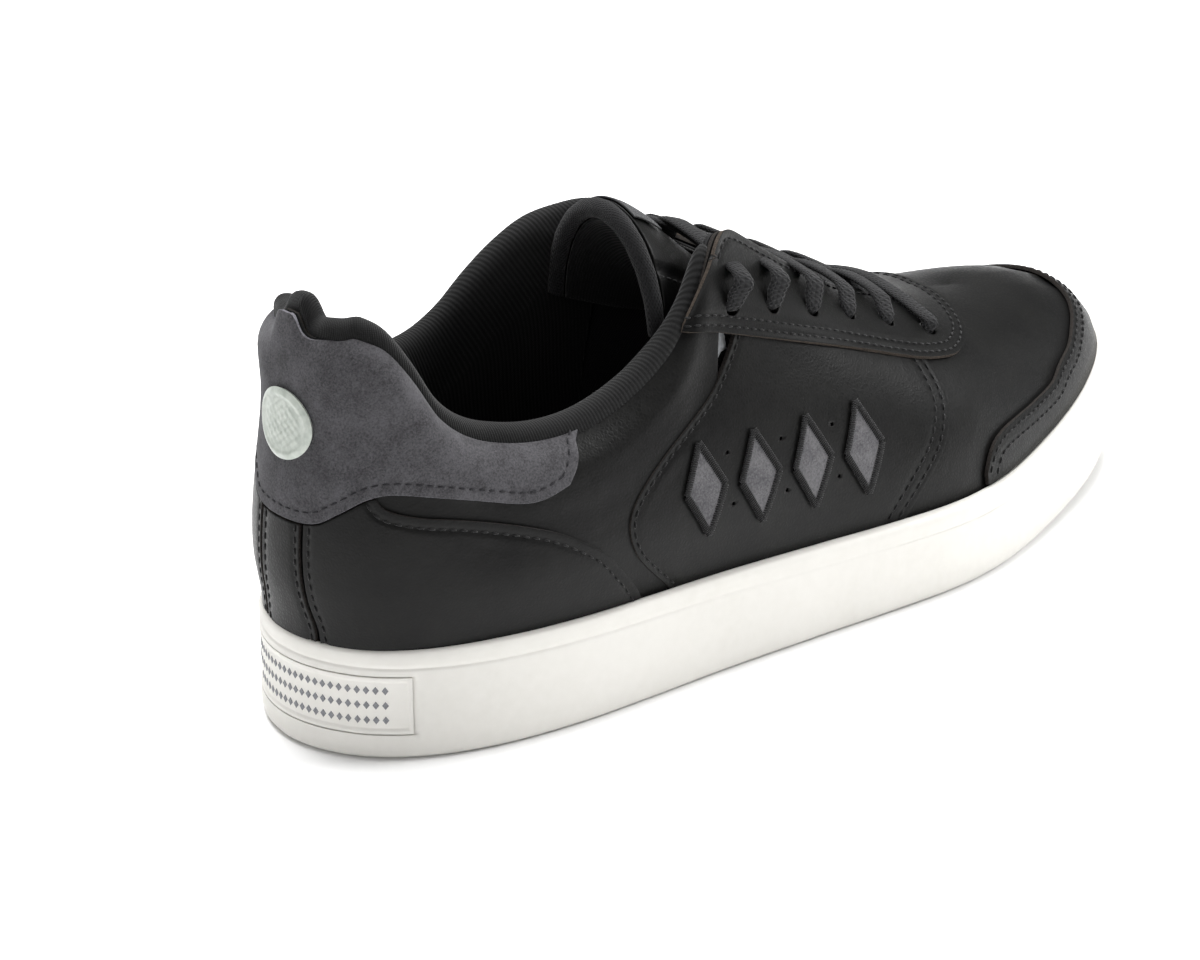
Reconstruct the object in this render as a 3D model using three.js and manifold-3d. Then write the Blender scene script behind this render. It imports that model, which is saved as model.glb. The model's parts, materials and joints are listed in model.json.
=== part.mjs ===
// Spikeless golf shoe, right foot, as the pieces a shoemaker would lay out on a bench.
// Millimetres. +X points from heel to toe, +Y to the inner (medial) side, +Z up.
// The origin is on the ground, under the middle of the shoe.
import * as THREE from 'three';
import { mergeVertices } from 'three/addons/utils/BufferGeometryUtils.js';
import Module from 'manifold-3d';

const wasm = await Module();
wasm.setup();

// ---- Overall sizes -------------------------------------------------------------------
const LENGTH = 301;
const WIDTH = 102.8;
const HEIGHT = 121;

// ---- Clearances and material thicknesses -------------------------------------------------
const GAP = 0.3;
const LEATHER = 1.4;
const OVERLAY = 1.2;
const SUEDE = 1.4;
const STIFFENER = 0.8;
const LINING = 0.8;
const COLLAR_PAD = 4.6;
const COLLAR_PAD_LOW = [50, 68];     // heights over which the padding fades in
const COLLAR_PAD_FRONT = [92, 110];  // stations over which it fades out
const BOARD = 1.6;
const SHANK = 1.2;
const INSOLE_FOAM = 3.6;
const INSOLE_COVER = 0.8;
const TONGUE_FOAM = 3.4;
const PLY_GAP = 0.8;           // between the tongue's curved plies

// ---- Cupsole ---------------------------------------------------------------------------
const EDGE_SIDE = 4.7;         // rim width between the cupsole's edge and the upper
const EDGE_HEEL = 2.6;         // the same at the back of the heel
const FOOTBED_DEPTH = 13.5;    // from the rim down to the footbed
const CUP_FLOOR = 3.2;
const TREAD_DEPTH = 2.4;
const SHANK_SPAN = [78, 176];  // stations where the shank starts and ends
const SHANK_HALF = 15;
const TREAD_RIM = 8;
const LUG_RADIUS = 8;
const LUG_PITCH = 27;
const HEEL_PAD = [34, 26];
const HEEL_PAD_AT = [46, -1];
const PAD_ROOT = 0.6;          // how far the heel pad reaches into the sole above the tread
const PLAQUE_THICKNESS = 0.9;
const PLAQUE_HALF_ANGLE = 31;  // half of the plaque's width round the heel, across the shoe
const PLAQUE_HEIGHTS = [7.5, 24.5];

const PUFF_REACH = 9;          // how far the toe puff runs back past the toe overlay

// ---- Lacing ----------------------------------------------------------------------------
const EYELET_PAIRS = 6;
const EYELET_RADIUS = 2.5;
const LACE_WIDTH = 6.6;
const LACE_THICKNESS = 1.5;
const LACE_PINCH = 3.2;        // width of the lace where it is squeezed into an eyelet
const LACE_DIP = 0.5;          // how far the lace stays above or below an eyelet's rim
const LACE_TURN = 1.6;         // where it turns flat under an eyestay, in from the eyelet
const LACE_FLAT = 6.5;         // where it is at full width under an eyestay
const LACE_LAND = 3.2;         // where it narrows again on top of an eyestay
const LACE_REST = 9;           // where it comes to lie on top of an eyestay
const LACE_BAR_IN = 3.4;       // the front bar's first bend, in from its eyelet
const LACE_BAR_LIFT = 1.2;

// ---- Trim ------------------------------------------------------------------------------
const BADGE_RADIUS = 9.5;
const BADGE_THICKNESS = 1.1;
const DIAMONDS = 4;
const DIAMOND_HALF = [6.6, 12.5];
const DIAMOND_PITCH = 18.5;
const DIAMOND_ROW = { x: 108, z: 53, drop: 1.4 };

// ---- Grading: the pattern lines below are drawn for this size and scaled to the sizes above
const PATTERN = { length: 301, width: 102.8, height: 121 };
const gradeX = LENGTH / PATTERN.length;
const gradeY = WIDTH / PATTERN.width;
const gradeZ = HEIGHT / PATTERN.height;
const LATERAL = -1;
const MEDIAL = 1;
const FAR = 400;               // past every piece, for cutting blocks

// ---- Small tools -----------------------------------------------------------------------
const clamp01 = (t) => Math.min(1, Math.max(0, t));
const mix = (a, b, t) => a + (b - a) * t;

function ease(from, to, x) {
  const t = clamp01((x - from) / (to - from));
  return t * t * (3 - 2 * t);
}

// A smooth curve through stations [x, value], flat past both ends.
function through(stations) {
  const slopes = stations.map((_, i) => {
    const before = stations[Math.max(i - 1, 0)];
    const after = stations[Math.min(i + 1, stations.length - 1)];
    return (after[1] - before[1]) / (after[0] - before[0]);
  });
  return (x) => {
    if (x <= stations[0][0]) return stations[0][1];
    const next = stations.findIndex((station) => station[0] >= x);
    if (next < 0) return stations[stations.length - 1][1];
    const [x0, y0] = stations[next - 1];
    const [x1, y1] = stations[next];
    const span = x1 - x0;
    const t = (x - x0) / span;
    const u = 1 - t;
    return y0 * u * u * (1 + 2 * t) + y1 * t * t * (3 - 2 * t)
      + span * t * u * (slopes[next - 1] * u - slopes[next] * t);
  };
}

// ---- The last: outline of the cupsole and the outer face of the upper, in pattern sizes --
const centreLine = through([[0, 0], [20, -0.5], [60, -2], [100, -4.5], [145, -6.3], [195, -3.2],
  [240, 4.6], [270, 7.5], [301, 8.6]]);
const halfWidth = [[7, 20.6], [20, 31.8], [40, 39.6], [64, 43], [91, 43], [118, 42.8],
  [145, 44.2], [171, 47.6], [196, 51], [219, 51.4], [240, 48.4], [262, 41.8], [281, 32], [294, 20]];
const roundness = (x) => Math.sqrt(Math.max(0, 4 * (x / PATTERN.length) * (1 - x / PATTERN.length)));
const fullness = through(halfWidth.map(([x, half]) => [x, half / roundness(x)]));
const rimHeight = through([[0, 31.6], [105, 28.2], [210, 24.9], [255, 28.5], [301, 36]]);
const toeSpring = (x) => 7.7 * clamp01((x - 199) / 102) ** 2.2;
const ridgeHeight = through([[58, 150], [100, 134], [120, 118.5], [140, 104], [170, 88], [200, 73],
  [225, 63], [246, 57.4]]);
const ridgeSide = through([[58, 0], [140, 0], [200, 1.5], [246, 6]]);
const heelLean = through([[20, 0], [34, -0.006], [48, -0.042], [65, -0.03], [85, 0.022],
  [105, 0.052], [122, 0.057]]);
const sideLean = through([[20, 0], [30, 0], [45, -0.01], [60, 0.06], [78, 0.2], [100, 0.26],
  [135, 0.28]]);
const MEDIAL_LEAN = 0.5;       // the inner wall leans in half as much as the outer one
const CHIMNEY = 132;
const TUCK = 6;                // how far below the rim the shaped part of the upper starts

function smoothMin(a, b, blend) {
  const h = clamp01(0.5 + 0.5 * (b - a) / blend);
  return b * (1 - h) + a * h - blend * h * (1 - h);
}

const ridgeStation = (x) => -smoothMin(-smoothMin(x, 246, 50), -58, 50);

function outline(run, side) {
  const x = PATTERN.length * (1 - Math.cos(Math.PI * run)) / 2;
  return [x, centreLine(x) + side * fullness(x) * Math.sin(Math.PI * run)];
}

// Outward direction of the outline in plan.
function planNormal(run, side) {
  const step = 1e-3;
  const start = run - step < 0 ? outline(step - run, -side) : outline(run - step, side);
  const end = run + step > 1 ? outline(2 - run - step, -side) : outline(run + step, side);
  const dx = end[0] - start[0];
  const dy = end[1] - start[1];
  const length = Math.hypot(dx, dy);
  return [-side * dy / length, side * dx / length];
}

// A point of the upper's outer face: run goes heel to toe, rise goes rim to ridge.
function lastPoint(run, side, rise) {
  const [x, y] = outline(run, side);
  const normal = planNormal(run, side);
  const edge = mix(EDGE_HEEL, EDGE_SIDE, ease(0, 45, x));
  const foot = [x - edge * normal[0], y - edge * normal[1]];
  const footZ = rimHeight(x) - TUCK;
  const topX = ridgeStation(x);
  const turn = Math.PI * rise / 2;
  const domeIn = 1 - Math.cos(turn);
  const swell = mix(0.93, 0.88, ease(60, 200, x));
  const domeZ = footZ + (ridgeHeight(topX) - footZ) * Math.sin(turn) ** swell;
  const wallZ = footZ + (CHIMNEY - footZ) * rise;
  const lean = sideLean(wallZ) * (side === MEDIAL ? MEDIAL_LEAN : 1);
  const wallIn = mix(heelLean(wallZ), lean, ease(2, 45, x));
  const blend = ease(85, 185, x);
  const inward = mix(wallIn, domeIn, blend);
  return new THREE.Vector3(
    (foot[0] + (topX - foot[0]) * inward) * gradeX,
    (foot[1] + (ridgeSide(topX) - foot[1]) * inward) * gradeY,
    mix(wallZ, domeZ, blend) * gradeZ,
  );
}

function lastNormal(run, side, rise) {
  const step = 0.012;
  const at = Math.min(rise, 0.97);
  const low = lastPoint(run, side, Math.max(at - step, 0));
  const high = lastPoint(run, side, at + step);
  const back = run - step < 0 ? lastPoint(step - run, -side, at) : lastPoint(run - step, side, at);
  const front = run + step > 1 ? lastPoint(2 - run - step, -side, at)
    : lastPoint(run + step, side, at);
  const normal = front.sub(back).cross(high.sub(low)).multiplyScalar(-side);
  return normal.normalize();
}

// ---- Solids ----------------------------------------------------------------------------
const RUNS = 16;
const ROWS = 6;

function solid(geometry) {
  const bare = new THREE.BufferGeometry();
  bare.setAttribute('position', geometry.getAttribute('position'));
  bare.setIndex(geometry.index);
  const merged = mergeVertices(bare, 1e-3);
  const corners = merged.index.array;
  const triangles = [];
  for (let i = 0; i < corners.length; i += 3) {
    const [a, b, c] = corners.slice(i, i + 3);
    if (a !== b && b !== c && c !== a) triangles.push([a, b, c]);
  }
  const position = merged.getAttribute('position');
  const at = (i) => new THREE.Vector3().fromBufferAttribute(position, i);
  const volume = triangles.reduce((sum, [a, b, c]) => sum + at(a).dot(at(b).cross(at(c))), 0);
  const facing = triangles.map(([a, b, c]) => (volume < 0 ? [a, c, b] : [a, b, c]));
  return new wasm.Manifold(new wasm.Mesh({
    numProp: 3,
    vertProperties: Float32Array.from(position.array),
    triVerts: Uint32Array.from(facing.flat()),
  }));
}

// Bends a box (x, y and z each 0 to 1 in the callback) into a shape.
function bend(segments, place) {
  const box = new THREE.BoxGeometry(1, 1, 1, ...segments);
  const position = box.getAttribute('position');
  for (let i = 0; i < position.count; i += 1) {
    const at = place(position.getX(i) + 0.5, position.getY(i) + 0.5, position.getZ(i) + 0.5);
    position.setXYZ(i, at.x, at.y, at.z);
  }
  return solid(box);
}

const floorOfCup = (x) => TREAD_DEPTH + CUP_FLOOR + toeSpring(x) * gradeZ;
const footbed = (x) => rimHeight(x) * gradeZ - FOOTBED_DEPTH;

// The solid inside a face that lies `offset` outside the last, down to the height `base(x)`.
function lastBody(offset, base) {
  const depth = typeof offset === 'number' ? () => offset : offset;
  return bend([RUNS, 1, ROWS + 1], (run, across, up) => {
    const side = across < 0.5 ? LATERAL : MEDIAL;
    const rise = Math.max(0, (up * (ROWS + 1) - 1) / ROWS);
    const point = lastPoint(run, side, rise);
    const plan = planNormal(run, side);
    const normal = rise > 0 ? lastNormal(run, side, rise) : new THREE.Vector3(plan[0], plan[1], 0);
    const patternX = point.x / gradeX;
    const ridge = ridgeSide(patternX) * gradeY;
    const outlineX = outline(run, side)[0];
    if (rise === 1 && outlineX >= 185) normal.set(0, 0, 1);
    point.addScaledVector(normal, depth(patternX, point.z / gradeZ));
    if (rise > 0.5) point.y = side * Math.max(side * point.y, side * ridge);
    if (up === 0) point.z = base(outlineX);
    return point;
  });
}

const deepBase = () => -FAR / 4;

function layer(outer, inner, base) {
  return lastBody(outer, base).subtract(lastBody(inner, deepBase));
}

// ---- Cutting blocks --------------------------------------------------------------------
const smoothLine = (points, steps = points.length < 12 ? 2 : 1) => new THREE.SplineCurve(
  points.map(([a, b]) => new THREE.Vector2(a, b)),
).getPoints((points.length - 1) * steps);

function shiftLine(line, distance) {
  return line.map((point, i) => {
    const before = line[Math.max(i - 1, 0)];
    const after = line[Math.min(i + 1, line.length - 1)];
    const along = after.clone().sub(before).normalize();
    return new THREE.Vector2(point.x - along.y * distance, point.y + along.x * distance);
  });
}

const gradeLine = (line, a, b) => line.map((point) => new THREE.Vector2(point.x * a, point.y * b));

// A block whose outline is seen from the side (x, z), over the given reach in y.
function sideBlock(outlinePoints, from = -FAR, to = FAR) {
  const geometry = new THREE.ExtrudeGeometry(new THREE.Shape(outlinePoints),
    { depth: to - from, bevelEnabled: false });
  geometry.rotateX(Math.PI / 2);
  geometry.translate(0, to, 0);
  return solid(geometry);
}

// A block whose outline is seen from above (x, y), over the given reach in z.
function topBlock(outlinePoints, from = -FAR, to = FAR) {
  const geometry = new THREE.ExtrudeGeometry(new THREE.Shape(outlinePoints),
    { depth: to - from, bevelEnabled: false });
  geometry.translate(0, 0, from);
  return solid(geometry);
}

// A block whose outline is seen from behind (y, z), over the given reach in x.
function backBlock(outlinePoints, from = -FAR, to = FAR) {
  const geometry = new THREE.ExtrudeGeometry(new THREE.Shape(outlinePoints),
    { depth: to - from, bevelEnabled: false });
  geometry.rotateX(Math.PI / 2);
  geometry.rotateZ(Math.PI / 2);
  geometry.translate(from, 0, 0);
  return solid(geometry);
}

const corner = (a, b) => new THREE.Vector2(a, b);

// Closes a line into an outline by way of far corners.
const closed = (line, ...corners) => [...line, ...corners.map(([a, b]) => corner(a, b))];

function box(x0, x1, y0, y1, z0, z1) {
  const geometry = new THREE.BoxGeometry(x1 - x0, y1 - y0, z1 - z0);
  geometry.translate((x0 + x1) / 2, (y0 + y1) / 2, (z0 + z1) / 2);
  return solid(geometry);
}

const HEEL_CENTRE = 0.5 * gradeY;
const half = (side, clear = GAP / 2) => (side === LATERAL
  ? box(-FAR, FAR, -FAR, HEEL_CENTRE - clear, -FAR, FAR)
  : box(-FAR, FAR, HEEL_CENTRE + clear, FAR, -FAR, FAR));

// ---- Pattern lines, seen from the side [x, z] -------------------------------------------
const COLLAR = {
  [LATERAL]: [[-14, 121.5], [4, 121], [11, 117.8], [18, 113.8], [24.5, 103.8], [32, 91.3],
    [42, 83.2], [54, 79.1], [68, 77.8], [82, 79.5], [95, 83.8], [106, 90], [114, 97.5],
    [120, 105], [124, 109.6], [130, 108.6], [145, 102.6], [160, 96.4], [175, 91.5], [212, 90]],
  [MEDIAL]: [[-14, 121.5], [4, 121], [11, 118.2], [19, 114.8], [27, 106.5], [35, 97],
    [44, 89], [55, 84], [66, 84.4], [76, 89], [85, 96.5], [94, 103], [104, 108.5],
    [114, 110.6], [122, 111], [130, 108.6], [145, 102.6], [160, 96.4], [175, 91.5], [212, 90]],
};
const HEEL_TOP = [[-34, 140], [-25, 124], [-16, 117.6], [-10, 115.6], [-5.6, 115], [-2.4, 119.6],
  [1, 121], [4.4, 119.6], [7.6, 115], [12, 115.6], [18, 117.6], [27, 124], [36, 140]];
const REAR_SEAM = [[150, 150], [137, 118], [131.5, 94], [127.6, 87.3], [117.3, 76.8],
  [107.2, 70.6], [97.7, 65.2], [89.5, 59.5], [84, 54], [82.2, 48.8], [83.4, 43], [87, 37.5],
  [95, 28.9], [108, 14], [120, -10]];
const VAMP_SEAM = [[182, 120], [193, 84], [197.6, 66], [199.2, 57.5], [198.9, 51], [196.5, 45.8],
  [192, 40], [185.6, 34.2], [177, 26], [160, 6], [150, -10]];
const TAB_EDGE = [[-20, 64.6], [0, 64.8], [3, 65.8], [6.1, 69.2], [10.8, 73.2], [16, 74.4],
  [26.8, 71.7], [35.8, 68.8], [49.4, 64.6], [57, 64], [64.8, 65.8], [69, 71], [71.2, 77.5],
  [72.5, 90], [74, 110]];
const FOXING_EDGE = [[-20, 79], [0, 78.5], [10, 75.5], [15.1, 70.2], [22, 67.3], [32.5, 64.4],
  [43.6, 60.9], [53.6, 57.4], [62.2, 53.3], [71.7, 46.7], [77.1, 40.9], [82, 34.6], [85, 29],
  [92, 16], [98, -10]];
const STAY_EDGE = [[104, 96.5], [110.3, 94.2], [119.8, 91.5], [131.5, 87.1], [149.1, 80.3],
  [167.5, 73.1], [186.7, 65.1], [201.1, 59.3], [211, 57], [222, 54], [245, 48]];
const LINING_SEAM = [[124, 150], [116, 118], [111, 98], [113, 82], [109, 62], [104, 40],
  [100, -10]];
const COUNTER_EDGE = [[-20, 76], [10, 75], [30, 68], [52, 58], [64, 46], [70, 32], [74, -10]];

// ---- Pattern lines, seen from above [x, y] ----------------------------------------------
const THROAT = [[60, -40], [104, -33.5], [118, -27.5], [128, -22], [145, -18.2], [165, -15.5],
  [185, -12.6], [200, -9.6], [209, -5.6], [212, 1.8], [210, 9], [202, 13], [187, 15.4],
  [167, 16.4], [147, 18], [130, 20.5], [118, 25], [104, 32], [60, 40]];
const STAY_FRONT = [[196, -60], [205, -38], [210, -31.8], [217, -28], [223, -23], [227.4, -16],
  [230.6, -7], [232.2, 3], [231.6, 13], [228.8, 21], [224, 28], [217, 33.6], [209.5, 37.6],
  [204, 44], [196, 66]];
const TOE_LINE = [[203, -80], [205, -52], [208, -47.2], [213.6, -44.8], [226.7, -40.3],
  [238, -36.3], [249, -32], [256, -28], [265, -22.8], [271.2, -17.8], [276.5, -12.6],
  [280.3, -7], [282.4, 0], [283.2, 8], [282.4, 15.6], [280, 22.4], [276, 28.6], [270, 34],
  [262, 38.8], [253, 42.4], [241, 45.8], [228, 49], [215, 51.6], [209.5, 54], [206.5, 60],
  [205, 90]];

const sideLine = (points) => gradeLine(smoothLine(points), gradeX, gradeZ);
const topLine = (points) => gradeLine(smoothLine(points), gradeX, gradeY);

const rearSeam = sideLine(REAR_SEAM);
const vampSeam = sideLine(VAMP_SEAM);
const tabEdge = sideLine(TAB_EDGE);
const foxingEdge = sideLine(FOXING_EDGE);
const stayEdge = sideLine(STAY_EDGE);
const liningSeam = sideLine(LINING_SEAM);
const counterEdge = sideLine(COUNTER_EDGE);
const stayFront = topLine(STAY_FRONT);
const toeLine = topLine(TOE_LINE);
const throatLine = topLine(THROAT);

const behind = (line, clear = GAP / 2) => sideBlock(
  closed(shiftLine(line, -clear), [-FAR, line[line.length - 1].y], [-FAR, line[0].y]),
);
const ahead = (line, clear = GAP / 2) => sideBlock(
  closed(shiftLine(line, clear), [FAR, line[line.length - 1].y], [FAR, line[0].y]),
);
const below = (line, clear = 0) => sideBlock(
  closed(shiftLine(line, -clear), [line[line.length - 1].x, -FAR], [line[0].x, -FAR]),
);
const above = (line, clear = 0) => sideBlock(
  closed(shiftLine(line, clear), [line[line.length - 1].x, FAR], [line[0].x, FAR]),
);

// Everything over the collar, inside the throat and round the heel's top notch. `up` raises
// it and `shrink` narrows its throat.
function opening(up = 0, shrink = 0) {
  const raise = (points) => points.map(([a, b]) => [a, b + up]);
  const side = (which) => sideBlock(
    closed(sideLine(raise(COLLAR[which])), [212 * gradeX, FAR], [-FAR, FAR], [-FAR, 121 * gradeZ]),
  ).intersect(half(which, 0));
  const heel = backBlock(
    closed(gradeLine(smoothLine(raise(HEEL_TOP)), gradeY, gradeZ), [FAR, FAR], [-FAR, FAR]),
    -FAR, 24 * gradeX,
  );
  const throat = topBlock(shiftLine(throatLine, shrink), 30 * gradeZ, FAR)
    .subtract(box(-FAR, 108 * gradeX, -FAR, FAR, -FAR, FAR));
  return side(LATERAL).add(side(MEDIAL)).add(heel).add(throat);
}

// ---- Cupsole and what lies in it --------------------------------------------------------
const WALL_PROFILE = [[1.2, 0], [0.2, 0.1], [0, 0.4], [0.1, 0.9], [0.9, 1]];   // [inset, level]
const PLAIN_PROFILE = [[0, 0], [0, 1]];

function soleBlock(inset, bottom, top, rows = WALL_PROFILE) {
  return bend([RUNS + 6, 1, rows.length - 1], (run, across, up) => {
    const side = across < 0.5 ? LATERAL : MEDIAL;
    const [draft, level] = rows[Math.round(up * (rows.length - 1))];
    const [x, y] = outline(run, side);
    const normal = planNormal(run, side);
    return new THREE.Vector3(
      x * gradeX - (inset + draft) * normal[0],
      y * gradeY - (inset + draft) * normal[1],
      mix(bottom(x), top(x), level),
    );
  });
}

const ground = (x) => toeSpring(x) * gradeZ;
const rim = (x) => rimHeight(x) * gradeZ;
const belowRim = soleBlock(0, ground, rim).translate([0, 0, GAP]);

function lug(x, y, radius, sides) {
  const depth = TREAD_DEPTH + 0.6;
  const geometry = new THREE.CylinderGeometry(radius, radius * 0.82, depth, sides);
  geometry.rotateX(Math.PI / 2);
  geometry.rotateZ(Math.PI / sides);
  geometry.translate(x, y, ground(x / gradeX) + depth / 2);
  return solid(geometry);
}

function treadLugs() {
  const lugs = [];
  const columns = Math.floor((LENGTH - 60) / LUG_PITCH);
  for (let column = 0; column <= columns; column += 1) {
    const x = 30 + column * LUG_PITCH;
    const middle = centreLine(x / gradeX) * gradeY;
    const reach = fullness(x / gradeX) * roundness(x / gradeX) * gradeY - TREAD_RIM - LUG_RADIUS - 2;
    const across = Math.max(1, Math.floor((2 * reach) / LUG_PITCH) + 1);
    for (let row = 0; row < across; row += 1) {
      const y = middle + (row - (across - 1) / 2) * LUG_PITCH;
      const onPad = Math.abs(x - 46 * gradeX) < HEEL_PAD[0] / 2 + LUG_RADIUS + 1
        && Math.abs(y + 1) < HEEL_PAD[1] / 2 + LUG_RADIUS + 1;
      if (!onPad) lugs.push(lug(x, y, LUG_RADIUS, 6));
    }
  }
  return lugs;
}

function heelPad() {
  const x = HEEL_PAD_AT[0] * gradeX;
  const y = HEEL_PAD_AT[1];
  const [long, wide] = HEEL_PAD;
  return box(x - long / 2, x + long / 2, y - wide / 2, y + wide / 2, 0, TREAD_DEPTH + PAD_ROOT);
}

function plaqueZone(grow) {
  const wide = PLAQUE_HALF_ANGLE + grow;
  return box(-FAR, 40 * gradeX, HEEL_CENTRE - wide, HEEL_CENTRE + wide,
    PLAQUE_HEIGHTS[0] - grow, PLAQUE_HEIGHTS[1] + grow);
}

function cupsole() {
  const outer = soleBlock(0, ground, rim);
  const cavity = lastBody(GAP, floorOfCup);
  const tread = soleBlock(TREAD_RIM, (x) => ground(x) - 20, (x) => ground(x) + TREAD_DEPTH,
    PLAIN_PROFILE);
  const recess = outer.subtract(soleBlock(PLAQUE_THICKNESS + GAP, ground, rim))
    .intersect(plaqueZone(GAP));
  return wasm.Manifold.union([outer.subtract(tread), heelPad(), ...treadLugs()])
    .subtract(cavity).subtract(recess);
}

function heelPlaque() {
  return soleBlock(0, ground, rim).subtract(soleBlock(PLAQUE_THICKNESS, ground, rim))
    .intersect(plaqueZone(0));
}

function shankBlock(grow) {
  const [x0, x1] = SHANK_SPAN.map((x) => x * gradeX);
  const top = (x) => footbed(x / gradeX) - GAP;
  return bend([8, 1, 1], (along, across, up) => {
    const x = mix(x0 - grow, x1 + grow, along);
    const y = centreLine(x / gradeX) * gradeY + (across - 0.5) * 2 * (SHANK_HALF + grow);
    return new THREE.Vector3(x, y, top(x) - mix(SHANK + grow, grow > 0 ? -4 : 0, up));
  });
}

const levelBlock = (bottom, top) => bend([30, 1, 1], (along, across, up) => {
  const x = mix(-20, PATTERN.length + 20, along);
  return new THREE.Vector3(x * gradeX, (across - 0.5) * FAR, up < 0.5 ? bottom(x) : top(x));
});

function midsoleFoam() {
  return lastBody(0, (x) => floorOfCup(x) + GAP)
    .intersect(levelBlock((x) => floorOfCup(x) - 5, (x) => footbed(x) - GAP))
    .subtract(shankBlock(GAP));
}

function strobelBoard() {
  return lastBody(-LEATHER - GAP, footbed)
    .intersect(levelBlock((x) => footbed(x) - 5, (x) => footbed(x) + BOARD));
}

const INSOLE_INSET = LEATHER + STIFFENER + LINING + 3 * GAP + 1;
const boardTop = (x) => footbed(x) + BOARD + GAP;

function insoleSlab(from, to) {
  return lastBody(-INSOLE_INSET, boardTop)
    .intersect(levelBlock((x) => boardTop(x) + from, (x) => boardTop(x) + to));
}

// ---- Upper -----------------------------------------------------------------------------
const openAll = opening();
const mainLeather = layer(0, -LEATHER, footbed).subtract(openAll);
const backingAt = -LEATHER - GAP;
const liningAt = backingAt - STIFFENER - GAP;
const liningBase = (x) => boardTop(x) + 0.2;

// The collar padding swells below the topline and fades towards the heel seat and the laces.
function padding(x, z) {
  return COLLAR_PAD * ease(...COLLAR_PAD_LOW, z) * (1 - ease(...COLLAR_PAD_FRONT, x));
}

const liningOuter = (x, z) => liningAt - padding(x, z);
const liningInner = (x, z) => liningAt - padding(x, z) - LINING;

const overlayLayer = layer(GAP + OVERLAY, GAP, footbed).subtract(openAll).subtract(belowRim);
const suedeLayer = layer(GAP + SUEDE, GAP, footbed).subtract(openAll);
const stiffLayer = layer(backingAt, backingAt - STIFFENER, liningBase)
  .subtract(opening(-2));
const liningLayer = lastBody(liningOuter, liningBase).subtract(lastBody(liningInner, deepBase))
  .subtract(opening(2.2));

const toeBlock = topBlock(closed(toeLine, [FAR, 90], [FAR, -80]));
const stayZone = topBlock(closed(stayFront, [-FAR, 66], [-FAR, -60])).intersect(above(stayEdge));

const STRIP_EDGE = [[-9.6, -10], [-9.6, 34], [-8.2, 43], [-7.4, 55], [-7.2, 90]];

function stripBlock(clear) {
  const left = gradeLine(smoothLine(STRIP_EDGE), gradeY, gradeZ)
    .map((point) => corner(point.x - clear + HEEL_CENTRE, point.y));
  const right = left.map((point) => corner(2 * HEEL_CENTRE - point.x, point.y)).reverse();
  return backBlock([...left, ...right], -FAR, 40 * gradeX);
}

// The point and outward direction on the last at pattern position (x, z) of one side.
function onLast(x, z, side) {
  const target = { x: x * gradeX, z: z * gradeZ };
  let run = Math.acos(1 - 2 * x / PATTERN.length) / Math.PI;
  let rise = 0.5;
  for (let pass = 0; pass < 40; pass += 1) {
    const point = lastPoint(run, side, rise);
    run = clamp01(run + (target.x - point.x) / LENGTH * 0.6);
    rise = clamp01(rise + (target.z - point.z) / HEIGHT * 0.9);
  }
  return { point: lastPoint(run, side, rise), normal: lastNormal(run, side, rise) };
}

const eyeletHeight = through([[128, 95.5], [145, 90.5], [159, 84.8], [176, 77.4], [192, 70.2],
  [207, 63.4]]);
const eyelets = [];
for (let pair = 0; pair < EYELET_PAIRS; pair += 1) {
  const x = mix(207, 128, pair / (EYELET_PAIRS - 1));
  eyelets.push({
    [LATERAL]: onLast(x, eyeletHeight(x), LATERAL),
    [MEDIAL]: onLast(x, eyeletHeight(x), MEDIAL),
  });
}

function eyeletHoles(radius = EYELET_RADIUS) {
  const holes = [];
  for (const pair of eyelets) {
    for (const side of [LATERAL, MEDIAL]) {
      const { point, normal } = pair[side];
      const geometry = new THREE.CylinderGeometry(radius, radius, 16, 7);
      geometry.applyQuaternion(
        new THREE.Quaternion().setFromUnitVectors(new THREE.Vector3(0, 1, 0), normal),
      );
      geometry.translate(point.x, point.y, point.z);
      holes.push(solid(geometry));
    }
  }
  return wasm.Manifold.union(holes);
}

const punched = eyeletHoles();

function vamp() {
  return mainLeather.intersect(ahead(vampSeam)).subtract(punched);
}

function quarter(side) {
  return mainLeather.intersect(ahead(rearSeam)).intersect(behind(vampSeam))
    .intersect(half(side)).subtract(punched);
}

function rearQuarter(side) {
  return mainLeather.intersect(behind(rearSeam)).intersect(half(side)).subtract(punched);
}

const heelTab = () => suedeLayer.intersect(above(tabEdge));
const backStrip = () => overlayLayer.intersect(stripBlock(0)).intersect(below(tabEdge, GAP));

function foxing(side) {
  return overlayLayer.intersect(below(foxingEdge)).intersect(below(tabEdge, GAP))
    .subtract(stripBlock(GAP)).intersect(half(side));
}

const toeOverlay = () => overlayLayer.intersect(toeBlock);
const eyestay = () => overlayLayer.intersect(stayZone).subtract(punched);

function stayBacking(side) {
  return stiffLayer.intersect(stayZone).intersect(half(side, 3))
    .subtract(box(208 * gradeX, FAR, -FAR, FAR, -FAR, FAR)).subtract(punched);
}

const heelCounter = () => stiffLayer.intersect(behind(counterEdge, 0)).intersect(
  below(counterEdge, 0),
);
const toePuff = () => stiffLayer.intersect(toeBlock.translate([-PUFF_REACH, 0, 0]));
const vampLining = () => liningLayer.intersect(ahead(liningSeam)).subtract(punched);
const collarLining = () => liningLayer.intersect(behind(liningSeam)).subtract(punched);

function collarFoam() {
  const outer = lastBody(liningAt, liningBase);
  const inner = lastBody((x, z) => liningAt - Math.max(0.2, padding(x, z) - GAP), deepBase);
  const zone = sideBlock([corner(-FAR, 60 * gradeZ), corner(100 * gradeX, 60 * gradeZ),
    corner(100 * gradeX, FAR), corner(-FAR, FAR)]);
  return outer.subtract(inner).subtract(opening(-1.5)).intersect(zone);
}

// ---- Trim ------------------------------------------------------------------------------

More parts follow.
